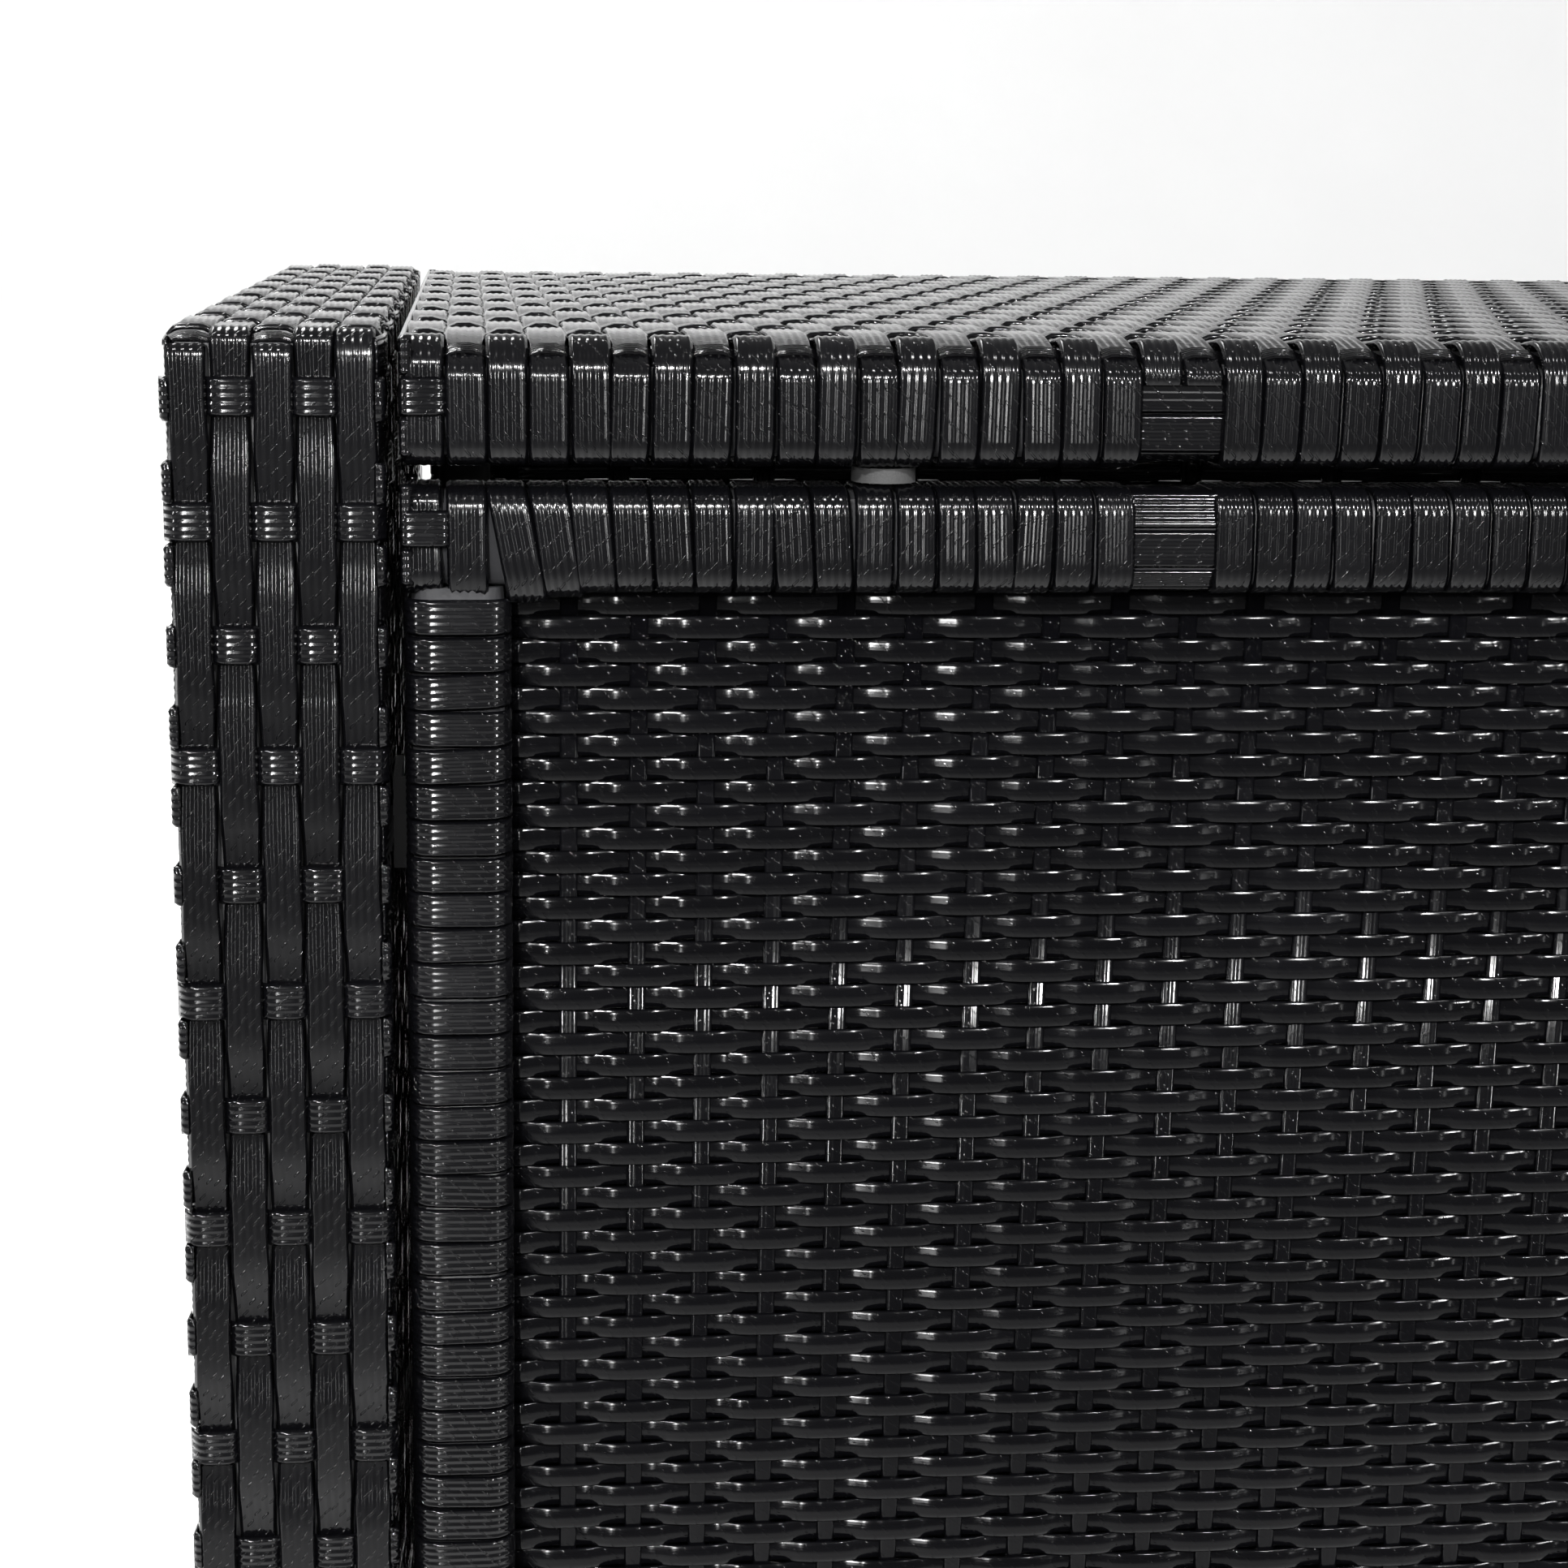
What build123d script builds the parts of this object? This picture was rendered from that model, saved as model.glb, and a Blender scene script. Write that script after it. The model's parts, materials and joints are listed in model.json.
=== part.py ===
from build123d import *
import os
from math import cos, hypot, radians, sin

# Deck storage box of woven flat resin strand over steel tube frames. Millimetres, +Z up,
# the front faces -Y, the origin is on the floor under the middle of the box.

# Overall size
length = 1200.0
depth = 500.0
height = 600.0
foot_height = 8.0

# Flat resin strand
strand = 1.5  # one layer wrapped round a tube
weave = 4.0  # woven sheet of the wide strand
infill_weave = 3.0  # woven sheet of the narrow strand

# Steel frames
tube = 25.0
tube_wall = 1.2
side_width = 54.0  # across one side panel
front_post = 60.0

# Room between panels
side_gap = 3.0
lid_gap = 4.0
lid_drop = 1.6  # the lid's top lies this far below the side panels
rear_inset = 10.0  # rear panel and lid stand in from the side panels' rear edge
recess = 15.0  # infill behind its frame's outer face

# Rounding and corner pieces
side_round = 6.0
rail_round = 3.0
corner_run = 12.0
corner_drop = 7.0

# Floor
crossbar_count = 4

# Hardware
plate = 2.0
screw_radius = 2.1
screw_head_radius = 4.0
screw_head_height = 2.5
screw_reach = 14.0
floor_screw_reach = tube + 12.0
hole_clear = 0.1
bracket_leg = 28.0
bracket_height = 24.0
bracket_inset = 90.0
foot_radius = 20.0
foot_stem_radius = 5.0
foot_stem = 12.0
foot_inset = 50.0
bumper_radius = 8.0
bumper_stem_radius = 2.5
bumper_stem = 6.0
bumper_inset = 120.0
bumper_clear = 0.3

# Hinges
hinge_span = 760.0
hinge_width = 60.0
hinge_leaf = 28.0
hinge_middle = 30.0
hinge_screw_pitch = 20.0
knuckle_radius = 4.0
knuckle_clear = 0.2
knuckle_notch = 0.5
pin_radius = 2.0
pin_head = 1.5
running_clear = 0.05

# Gas struts. Both ends lie at the same distance from the lid's pivot, so a strut always
# turns by half of the lid's angle.
strut_arm = 200.0
strut_angle = 70.0  # between the two arms with the lid shut
strut_drop = 12.0  # of the lid end below the lid
strut_wall_gap = 18.0  # from the side panel to the strut's axis
strut_tube_radius = 9.0
strut_tube_wall = 1.2
strut_rod_radius = 4.0
strut_neck_radius = 4.8
strut_cap = 4.0
strut_plug = 8.0
strut_piston = 6.0
strut_rod_show = 4.0
strut_end_clear = 1.0
eye_radius = 8.0
eye_width = 10.0
eye_reach = 12.0
eye_side_clear = 0.5
stud_radius = 4.0
stud_head_radius = 6.0
strut_plate_run = 34.0
strut_plate_half = 10.0
strut_screw_offsets = (14.0, 28.0)

# Derived levels and faces
half = length / 2
side_in = half - side_width
panel_end = side_in - side_gap
rail = tube + 2 * strand
stile_in = panel_end - rail
front_y = -depth / 2
back_y = depth / 2 - rear_inset
front_in = front_y + rail
back_in = back_y - rail
lid_top = height - lid_drop
lid_base = lid_top - weave - rail
rail_top = lid_base - lid_gap
frame_base = foot_height + tube
pivot_y = back_y + knuckle_radius
pivot_z = lid_base - lid_gap / 2

# Strut ends, measured from the lid's pivot
lid_end_z = lid_base - strut_drop
lid_end_y = pivot_y - (strut_arm**2 - (pivot_z - lid_end_z) ** 2) ** 0.5
lid_dy = lid_end_y - pivot_y
lid_dz = lid_end_z - pivot_z
box_end_y = pivot_y + lid_dy * cos(radians(strut_angle)) - lid_dz * sin(radians(strut_angle))
box_end_z = pivot_z + lid_dy * sin(radians(strut_angle)) + lid_dz * cos(radians(strut_angle))
strut_length = hypot(lid_end_y - box_end_y, lid_end_z - box_end_z)
strut_x = side_in - strut_wall_gap


def block(corner, opposite, mode=Mode.ADD):
    """Adds or cuts the box between two opposite corners."""
    spans = [sorted(pair) for pair in zip(corner, opposite)]
    with Locations(tuple((low + high) / 2 for low, high in spans)):
        Box(*[high - low for low, high in spans], mode=mode)


def bar(start, direction, radius, reach, mode=Mode.ADD):
    """Adds or cuts a round bar that starts at a point and runs along a direction."""
    with Locations(Plane(origin=start, z_dir=direction)):
        Cylinder(radius, reach, align=(Align.CENTER, Align.CENTER, Align.MIN), mode=mode)


def shrink(box, by):
    """The box moved inwards on all six faces."""
    spans = [sorted(pair) for pair in zip(*box)]
    return tuple(low + by for low, high in spans), tuple(high - by for low, high in spans)


def hollow_tubes(boxes):
    """Welds square tubes, given by their outlines, into one frame with joined bores."""
    for box in boxes:
        block(*box)
    for box in boxes:
        block(*shrink(box, tube_wall), mode=Mode.SUBTRACT)


def cut_boxes(boxes):
    for box in boxes:
        block(*box, mode=Mode.SUBTRACT)


def screws(seats, reach):
    """Pan-head screws: each seat is a point under the head and the way the screw points."""
    for point, way in seats:
        back = tuple(-component for component in way)
        bar(point, back, screw_head_radius, screw_head_height)
        bar(point, way, screw_radius, reach)


def drill(seats, reach, radius=screw_radius):
    for point, way in seats:
        bar(point, way, radius + hole_clear, reach, Mode.SUBTRACT)


def save(builder, name):
    builder.part.label = name
    export_step(builder.part, f"parts/{name}.step")


# Fastener seats: (point under the head, direction of the screw)
bracket_levels = (frame_base + bracket_inset, rail_top - bracket_inset)
panel_sides = {"front": (front_in, 1), "rear": (back_in, -1)}
stile_seats = {"front": [], "rear": []}
side_seats = {-1: [], 1: []}
for panel, (face, inward) in panel_sides.items():
    for side in (-1, 1):
        for level in bracket_levels:
            stile_x = side * (stile_in + rail / 2)
            stile_seats[panel].append(((stile_x, face + inward * plate, level), (0, -inward, 0)))
            leg_y = face + inward * (bracket_leg - 2.5 * screw_head_radius)
            side_seats[side].append(((side * (side_in - plate), leg_y, level), (side, 0, 0)))

crossbar_reach = panel_end - tube / 2
crossbar_step = 2 * crossbar_reach / (crossbar_count - 1)
crossbar_xs = [-crossbar_reach + crossbar_step * i for i in range(crossbar_count)]
floor_seats = {
    "front": [((x, front_y + rail / 2, foot_height), (0, 0, 1)) for x in crossbar_xs],
    "rear": [((x, back_y - rail / 2, foot_height), (0, 0, 1)) for x in crossbar_xs],
}

hinge_xs = {"left": -hinge_span / 2, "right": hinge_span / 2}
hinge_screw_z = strand + tube / 2 + lid_gap / 2
hinge_box_seats = []
hinge_lid_seats = []
for hinge_x in hinge_xs.values():
    for step in (-1, 0, 1):
        screw_x = hinge_x + step * hinge_screw_pitch
        hinge_box_seats.append(((screw_x, back_y + plate, pivot_z - hinge_screw_z), (0, -1, 0)))
        hinge_lid_seats.append(((screw_x, back_y + plate, pivot_z + hinge_screw_z), (0, -1, 0)))

bumper_seats = []
for side in (-1, 1):
    bumper_x = side * (panel_end - bumper_inset)
    bumper_seats.append(((bumper_x, front_y + rail / 2, rail_top), (0, 0, -1)))

strut_box_seats = {}
strut_lid_seats = {}
for side in (-1, 1):
    plate_x = side * (side_in - plate)
    strut_box_seats[side] = [
        ((plate_x, box_end_y, box_end_z - offset), (side, 0, 0)) for offset in strut_screw_offsets
    ]
    strut_lid_seats[side] = [
        ((side * strut_x, lid_end_y - offset, lid_base - plate), (0, 0, 1))
        for offset in strut_screw_offsets
    ]

foot_seats = {}
foot_x = half - side_width / 2
for side, side_name in ((-1, "left"), (1, "right")):
    for end, end_name in ((-1, "front"), (1, "rear")):
        point = (side * foot_x, end * (depth / 2 - foot_inset), foot_height)
        foot_seats[f"{end_name}_{side_name}"] = (point, (0, 0, 1))

# Side panels
core_y = depth / 2 - weave
core_low = foot_height + weave
core_high = height - weave
rear_post_y = box_end_y - strut_plate_half - tube / 2
for side, side_name in ((-1, "left"), (1, "right")):
    feet = [seat for name, seat in foot_seats.items() if name.endswith(side_name)]
    inner_x = side * (side_in + weave)
    outer_x = side * (half - weave)
    core = ((inner_x, -core_y, core_low), (outer_x, core_y, core_high))

    with BuildPart() as side_frame:
        hollow_tubes(
            [
                ((inner_x, -core_y, core_low), (outer_x, front_post - core_y, core_high)),
                ((inner_x, rear_post_y, core_low), (outer_x, core_y, core_high)),
                ((inner_x, -core_y, core_low), (outer_x, core_y, core_low + tube)),
                ((inner_x, -core_y, core_high - tube), (outer_x, core_y, core_high)),
            ]
        )
        drill(side_seats[side] + strut_box_seats[side], screw_reach)
        drill(feet, foot_stem, foot_stem_radius)
    save(side_frame, f"side_frame_{side_name}")

    with BuildPart() as side_skin:
        block((side * side_in, -depth / 2, foot_height), (side * half, depth / 2, height))
        fillet(side_skin.edges(), side_round)
        block(*core, mode=Mode.SUBTRACT)
        drill(side_seats[side] + strut_box_seats[side], screw_reach)
        drill(feet, foot_stem, foot_stem_radius)
    save(side_skin, f"side_skin_{side_name}")

# Feet
for name, (point, way) in foot_seats.items():
    with BuildPart() as foot:
        bar(point, (0, 0, -1), foot_radius, foot_height)
        fillet(foot.edges().group_by(Axis.Z)[0], strand)
        bar(point, way, foot_stem_radius, foot_stem)
    save(foot, f"foot_{name}")

# Front and rear panels
tube_end = panel_end - strand
frame_low = frame_base + strand
frame_high = rail_top - strand
clear_low = frame_base + rail
clear_high = rail_top - rail
bars_low = ((-tube_end, frame_low), (tube_end, frame_low + tube))
bars_high = ((-tube_end, frame_high - tube), (tube_end, frame_high))
bars_left = ((-tube_end, frame_low), (tube - tube_end, frame_high))
bars_right = ((tube_end - tube, frame_low), (tube_end, frame_high))
for panel, (face, inward) in panel_sides.items():
    outer = face - inward * rail
    near = outer + inward * strand
    far = face - inward * strand
    tubes = [
        ((low[0], near, low[1]), (high[0], far, high[1]))
        for low, high in (bars_low, bars_high, bars_left, bars_right)
    ]
    seats = stile_seats[panel] + (hinge_box_seats if panel == "rear" else [])
    stems = bumper_seats if panel == "front" else []

    with BuildPart() as panel_frame:
        hollow_tubes(tubes)
        drill(seats, screw_reach)
        drill(floor_seats[panel], floor_screw_reach)
        drill(stems, bumper_stem, bumper_stem_radius)
    save(panel_frame, f"{panel}_frame")

    for level_name, low, high in (
        ("bottom", frame_base, clear_low),
        ("top", clear_high, rail_top),
    ):
        with BuildPart() as rail_wrap:
            block((-panel_end, outer, low), (panel_end, face, high))
            fillet(rail_wrap.edges().filter_by(Axis.X), rail_round)
            cut_boxes(tubes)
            drill(seats, screw_reach)
            drill(floor_seats[panel], floor_screw_reach)
            drill(stems, bumper_stem, bumper_stem_radius)
        save(rail_wrap, f"{panel}_wrap_{level_name}")

    for side, side_name in ((-1, "left"), (1, "right")):
        with BuildPart() as stile_wrap:
            block((side * stile_in, outer, clear_low), (side * panel_end, face, clear_high))
            fillet(stile_wrap.edges().filter_by(Axis.Z), rail_round)
            cut_boxes(tubes)
            drill(stile_seats[panel], screw_reach)
        save(stile_wrap, f"{panel}_wrap_{side_name}")

    with BuildPart() as corner_wraps:
        with BuildSketch(Plane.XZ.offset(-max(outer, outer + inward * recess))):
            for side in (-1, 1):
                for level, down in ((clear_low, -1), (clear_high, 1)):
                    corner = (side * stile_in, level)
                    along = (side * (stile_in - corner_run), level)
                    below = (side * stile_in, level - down * corner_drop)
                    Polygon(corner, along, below, align=None)
        extrude(amount=recess)
    save(corner_wraps, f"{panel}_corner_wraps")

    infill_face = outer + inward * recess
    infill_back = infill_face + inward * infill_weave
    with BuildPart() as infill:
        block((-stile_in, infill_face, clear_low), (stile_in, infill_back, clear_high))
    save(infill, f"{panel}_infill")

    with BuildPart() as mid_bar:
        block((-tube / 2, infill_back, clear_low), (tube / 2, face, clear_high))
        block(
            (tube_wall - tube / 2, infill_back + inward * tube_wall, clear_low + tube_wall),
            (tube / 2 - tube_wall, face - inward * tube_wall, clear_high - tube_wall),
            mode=Mode.SUBTRACT,
        )
    save(mid_bar, f"{panel}_mid_bar")

# Corner brackets tie the front and rear panels to the side panels across the gap
with BuildPart() as corner_brackets:
    for face, inward in panel_sides.values():
        for side in (-1, 1):
            for level in bracket_levels:
                low = level - bracket_height / 2
                high = level + bracket_height / 2
                corner = (side * side_in, face, low)
                block(corner, (side * (stile_in + strand), face + inward * plate, high))
                block(corner, (side * (side_in - plate), face + inward * bracket_leg, high))
    for seats in (*stile_seats.values(), *side_seats.values()):
        for point, way in seats:
            start = tuple(p - plate * w for p, w in zip(point, way))
            bar(start, way, screw_radius + hole_clear, 2 * plate, Mode.SUBTRACT)
save(corner_brackets, "corner_brackets")

with BuildPart() as bracket_screws:
    for seats in (*stile_seats.values(), *side_seats.values()):
        screws(seats, screw_reach)
save(bracket_screws, "bracket_screws")

# Floor
for number, x in enumerate(crossbar_xs, 1):
    with BuildPart() as crossbar:
        near = (x - tube / 2, front_y + strand, foot_height)
        far = (x + tube / 2, back_y - strand, frame_base)
        hollow_tubes([(near, far)])
        drill(floor_seats["front"] + floor_seats["rear"], floor_screw_reach)
    save(crossbar, f"floor_crossbar_{number}")

with BuildPart() as floor_weave:
    block((-side_in, front_in, frame_base), (side_in, back_in, frame_base + weave))
save(floor_weave, "floor_weave")

with BuildPart() as floor_screws:
    screws(floor_seats["front"] + floor_seats["rear"], floor_screw_reach)
save(floor_screws, "floor_screws")

# Lid
lid_low = lid_base + strand
lid_high = lid_low + tube
lid_tubes = [
    ((-tube_end, front_y + strand, lid_low), (tube_end, front_y + strand + tube, lid_high)),
    ((-tube_end, back_y - strand - tube, lid_low), (tube_end, back_y - strand, lid_high)),
    ((-tube_end, front_y + strand, lid_low), (tube - tube_end, back_y - strand, lid_high)),
    ((tube_end - tube, front_y + strand, lid_low), (tube_end, back_y - strand, lid_high)),
]
lid_bar_x = panel_end / 3
lid_bars = {
    side: (
        (side * lid_bar_x - tube / 2, front_in - strand, lid_low + strand),
        (side * lid_bar_x + tube / 2, back_in + strand, lid_high + strand),
    )
    for side in (-1, 1)
}

with BuildPart() as lid_frame:
    hollow_tubes(lid_tubes)
    drill(hinge_lid_seats + strut_lid_seats[-1] + strut_lid_seats[1], screw_reach)
save(lid_frame, "lid_frame")

for end_name, near, far in (("front", front_y, front_in), ("rear", back_y, back_in)):
    with BuildPart() as lid_wrap:
        block((-panel_end, near, lid_base), (panel_end, far, lid_base + rail))
        low_edges = lid_wrap.edges().filter_by(Axis.X).group_by(Axis.Z)[0]
        fillet(low_edges, rail_round)
        cut_boxes(lid_tubes + list(lid_bars.values()))
        drill(hinge_lid_seats, screw_reach)
    save(lid_wrap, f"lid_wrap_{end_name}")

for side, side_name in ((-1, "left"), (1, "right")):
    with BuildPart() as lid_wrap:
        block((side * stile_in, front_in, lid_base), (side * panel_end, back_in, lid_base + rail))
        low_edges = lid_wrap.edges().filter_by(Axis.Y).group_by(Axis.Z)[0]
        fillet(low_edges, rail_round)
        cut_boxes(lid_tubes)
        drill(strut_lid_seats[side], screw_reach)
    save(lid_wrap, f"lid_wrap_{side_name}")

    with BuildPart() as lid_bar:
        hollow_tubes([lid_bars[side]])
    save(lid_bar, f"lid_crossbar_{side_name}")

with BuildPart() as lid_weave:
    block((-panel_end, front_y, lid_base + rail), (panel_end, back_y, lid_top))
    fillet(lid_weave.edges().group_by(Axis.Z)[-1], rail_round)
save(lid_weave, "lid_weave")

with BuildPart() as lid_bumpers:
    for point, way in bumper_seats:
        bar(point, (0, 0, 1), bumper_radius, lid_gap - bumper_clear)
        bar(point, way, bumper_stem_radius, bumper_stem)
save(lid_bumpers, "lid_bumpers")

# Hinges
middle = hinge_middle / 2
outer_start = middle + knuckle_clear
notch = knuckle_radius + knuckle_notch
for side_name, x in hinge_xs.items():
    with BuildPart() as box_leaf:
        edge = hinge_width / 2
        back = back_y + plate
        block((x - edge, back_y, pivot_z - hinge_leaf), (x + edge, back, pivot_z - notch))
        for way in (-1, 1):
            inner = (x + way * outer_start, back_y, pivot_z - notch)
            block(inner, (x + way * edge, back, pivot_z))
            start = (x + way * outer_start, pivot_y, pivot_z)
            bar(start, (way, 0, 0), knuckle_radius, edge - outer_start)
        bar((x - edge, pivot_y, pivot_z), (1, 0, 0), pin_radius, hinge_width, Mode.SUBTRACT)
        drill([(p, (0, -1, 0)) for p, way in hinge_box_seats], plate)
    save(box_leaf, f"hinge_leaf_box_{side_name}")

    with BuildPart() as lid_leaf:
        block((x - edge, back_y, pivot_z + notch), (x + edge, back, pivot_z + hinge_leaf))
        block((x - middle, back_y, pivot_z), (x + middle, back, pivot_z + notch))
        bar((x - middle, pivot_y, pivot_z), (1, 0, 0), knuckle_radius, hinge_middle)
        start = (x - middle, pivot_y, pivot_z)
        bar(start, (1, 0, 0), pin_radius + running_clear, hinge_middle, Mode.SUBTRACT)
        drill([(p, (0, -1, 0)) for p, way in hinge_lid_seats], plate)
    save(lid_leaf, f"hinge_leaf_lid_{side_name}")

    with BuildPart() as hinge_pin:
        bar((x - edge, pivot_y, pivot_z), (1, 0, 0), pin_radius, hinge_width)
        for way in (-1, 1):
            bar((x + way * edge, pivot_y, pivot_z), (way, 0, 0), knuckle_radius - 1, pin_head)
    save(hinge_pin, f"hinge_pin_{side_name}")

with BuildPart() as hinge_screws_box:
    screws(hinge_box_seats, screw_reach)
save(hinge_screws_box, "hinge_screws_box")

with BuildPart() as hinge_screws_lid:
    screws(hinge_lid_seats, screw_reach)
save(hinge_screws_lid, "hinge_screws_lid")

# Gas struts
tube_way = (0, box_end_y - lid_end_y, box_end_z - lid_end_z)
rod_way = tuple(-component for component in tube_way)
tube_unit = tuple(component / strut_length for component in tube_way)
strut_tube_length = strut_length - 2 * eye_reach - strut_rod_show
strut_bore = strut_tube_radius - strut_tube_wall
rod_length = strut_length - 2 * eye_reach - strut_cap - strut_end_clear
stud_in = eye_width / 2 + eye_side_clear


def stud(x, y, z, side, root):
    """Collar, journal and head of a stud that carries one strut eye."""
    bar((root, y, z), (-side, 0, 0), stud_head_radius, abs(root - x) - stud_in)
    bar((root, y, z), (-side, 0, 0), stud_radius, abs(root - x) + stud_in)
    bar((x - side * stud_in, y, z), (-side, 0, 0), stud_head_radius, plate)


def eye(x, y, z):
    with Locations(Plane(origin=(x, y, z), z_dir=(1, 0, 0))):
        Cylinder(eye_radius, eye_width)


def eye_bore(x, y, z):
    with Locations(Plane(origin=(x, y, z), z_dir=(1, 0, 0))):
        Cylinder(stud_radius + running_clear, eye_width, mode=Mode.SUBTRACT)


def along(x, reach):
    """Point on the strut's axis at a distance from its lid end."""
    return (x, lid_end_y + tube_unit[1] * reach, lid_end_z + tube_unit[2] * reach)


for side, side_name in ((-1, "left"), (1, "right")):
    x = side * strut_x
    with BuildPart() as box_bracket:
        root = side * (side_in - plate)
        low = box_end_z - strut_plate_run
        high = box_end_z + strut_plate_half
        block(
            (root, box_end_y - strut_plate_half, low),
            (side * side_in, box_end_y + strut_plate_half, high),
        )
        drill(strut_box_seats[side], plate)
        stud(x, box_end_y, box_end_z, side, root)
    save(box_bracket, f"strut_bracket_box_{side_name}")

    with BuildPart() as lid_bracket:
        root = x + side * strut_plate_half
        block(
            (x - side * strut_plate_half, lid_end_y - strut_plate_run, lid_base - plate),
            (root + side * plate, lid_end_y + strut_plate_half, lid_base),
        )
        block(
            (root, lid_end_y - strut_plate_half, lid_end_z - eye_radius),
            (root + side * plate, lid_end_y + strut_plate_half, lid_base),
        )
        drill(strut_lid_seats[side], plate)
        stud(x, lid_end_y, lid_end_z, side, root)
    save(lid_bracket, f"strut_bracket_lid_{side_name}")

    with BuildPart() as strut_tube:
        eye(x, lid_end_y, lid_end_z)
        neck = eye_reach - stud_radius
        bar(along(x, stud_radius), tube_way, strut_neck_radius, neck)
        bar(along(x, eye_reach), tube_way, strut_tube_radius, strut_tube_length)
        bore_length = strut_tube_length - strut_cap - strut_plug
        bar(along(x, eye_reach + strut_cap), tube_way, strut_bore, bore_length, Mode.SUBTRACT)
        guide = strut_rod_radius + running_clear
        middle_start = along(x, strut_length / 2)
        bar(middle_start, tube_way, guide, strut_length / 2, Mode.SUBTRACT)
        eye_bore(x, lid_end_y, lid_end_z)
    save(strut_tube, f"strut_tube_{side_name}")

    with BuildPart() as strut_rod:
        eye(x, box_end_y, box_end_z)
        bar(along(x, strut_length - stud_radius), rod_way, strut_neck_radius, neck)
        bar(along(x, strut_length - eye_reach), rod_way, strut_rod_radius, rod_length)
        piston_start = along(x, strut_length - eye_reach - rod_length + strut_piston)
        bar(piston_start, rod_way, strut_bore - running_clear, strut_piston)
        eye_bore(x, box_end_y, box_end_z)
    save(strut_rod, f"strut_rod_{side_name}")

with BuildPart() as strut_screws_box:
    screws(strut_box_seats[-1] + strut_box_seats[1], screw_reach)
save(strut_screws_box, "strut_screws_box")

with BuildPart() as strut_screws_lid:
    screws(strut_lid_seats[-1] + strut_lid_seats[1], screw_reach)
save(strut_screws_lid, "strut_screws_lid")
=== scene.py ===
"""Deck storage box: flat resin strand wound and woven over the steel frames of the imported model."""

import json
from math import pi, radians

import bpy
import numpy as np
from bpy.props import FloatProperty, FloatVectorProperty, IntProperty, PointerProperty
from mathutils import Matrix, Vector


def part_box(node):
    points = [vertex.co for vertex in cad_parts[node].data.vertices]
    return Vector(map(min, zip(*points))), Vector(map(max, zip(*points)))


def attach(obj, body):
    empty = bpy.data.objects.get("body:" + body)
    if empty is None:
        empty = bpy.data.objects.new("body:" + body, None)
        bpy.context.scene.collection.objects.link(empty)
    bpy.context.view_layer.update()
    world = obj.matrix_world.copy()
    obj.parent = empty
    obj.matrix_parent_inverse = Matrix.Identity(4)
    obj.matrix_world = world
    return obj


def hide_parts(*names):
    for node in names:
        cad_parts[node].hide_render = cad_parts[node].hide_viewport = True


bl_info = {
    "name": "Woven deck storage box",
    "version": (1, 0, 0),
    "blender": (4, 5, 0),
    "location": "View3D > Sidebar > Deck box",
    "description": "Winds and weaves flat resin strand over the frames of a deck storage box",
    "category": "Object",
}

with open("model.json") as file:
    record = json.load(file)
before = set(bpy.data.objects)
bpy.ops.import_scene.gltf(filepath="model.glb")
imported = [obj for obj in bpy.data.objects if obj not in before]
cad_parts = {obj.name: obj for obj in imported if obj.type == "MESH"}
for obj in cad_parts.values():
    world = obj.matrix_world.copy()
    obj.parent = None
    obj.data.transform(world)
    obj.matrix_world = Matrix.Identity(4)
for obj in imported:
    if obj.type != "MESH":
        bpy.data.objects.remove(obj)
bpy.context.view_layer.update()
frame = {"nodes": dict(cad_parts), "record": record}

X, Y, Z = np.eye(3)
MM = 0.001
SIDES = {"left": -1, "right": 1}

# Strand outlines, each named for its count of points.
RIDGED = 13
SQUARE = 24
FLAT = 6

SPLICE_X = 0.350  # where wraps are left out, on each side of the middle
BAR_INSET = 1.0 * MM  # how far a frame bar's faces lie inside its tube's box
TUCK = 1.3 * MM  # how far an infill strand runs into the stile's winding
SLAB_CORNER = 8 * MM  # radius of a side panel's loops at its corners
TUBE_CORNER = 7.5 * MM  # radius of a wrap at a tube's corners
WRAP_STEPS = {"front": 4.5 * MM, "rear": 7 * MM}  # between samples round a tube
WRAP_OUTLINES = {"front": RIDGED, "rear": 8}
LAID = 0.52  # depth of the middle of a wrap, in thicknesses
END_LEVEL = 3.3 * MM  # middle strand over a rail's end, above the rail's middle


def corner_values(node):
    """Lowest and highest corner of a CAD node as numpy arrays, in metres."""
    low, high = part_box(node)
    return np.array(low), np.array(high)


# Settings


def length(name, description, default):
    return FloatProperty(name=name, description=description, default=default, unit="LENGTH")


def angle(name, description, degrees):
    return FloatProperty(name=name, description=description, default=radians(degrees), subtype="ANGLE")


def colour(name, description, default):
    return FloatVectorProperty(name=name, description=description, default=default, subtype="COLOR")


class StrandSettings(bpy.types.PropertyGroup):
    """Sizes of the flat resin strand and of its weave."""

    pitch: length("Pitch", "Between neighbouring strands", 0.01005)
    width: length("Width", "Width of one flat strand", 0.0099)
    thickness: length("Thickness", "Thickness of one flat strand", 0.0015)
    cross_pitch: length("Cross pitch", "Between cross strands", 0.030)
    waver: length("Waver", "How far a strand strays sideways", 0.00028)
    narrow_pitch: length("Infill pitch", "Between infill strands", 0.00605)
    stake_pitch: length("Stake pitch", "Between infill stakes", 0.0176)
    stake_width: length("Stake width", "Width of an infill stake", 0.0045)
    seed: IntProperty(name="Seed", description="Start of the irregularity", default=7)


class FinishSettings(bpy.types.PropertyGroup):
    """Colours and gloss."""

    strand_colour: colour("Strand", "Resin colour", (0.0008, 0.0008, 0.0010))
    coat_colour: colour("Powder coat", "Frame colour", (0.012, 0.012, 0.013))
    strand_roughness: FloatProperty(
        name="Strand roughness", description="Gloss of the resin", default=0.09, subtype="FACTOR"
    )
    ridge_height: length("Ridge height", "Of the strand's ridges", 0.00019)


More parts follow.
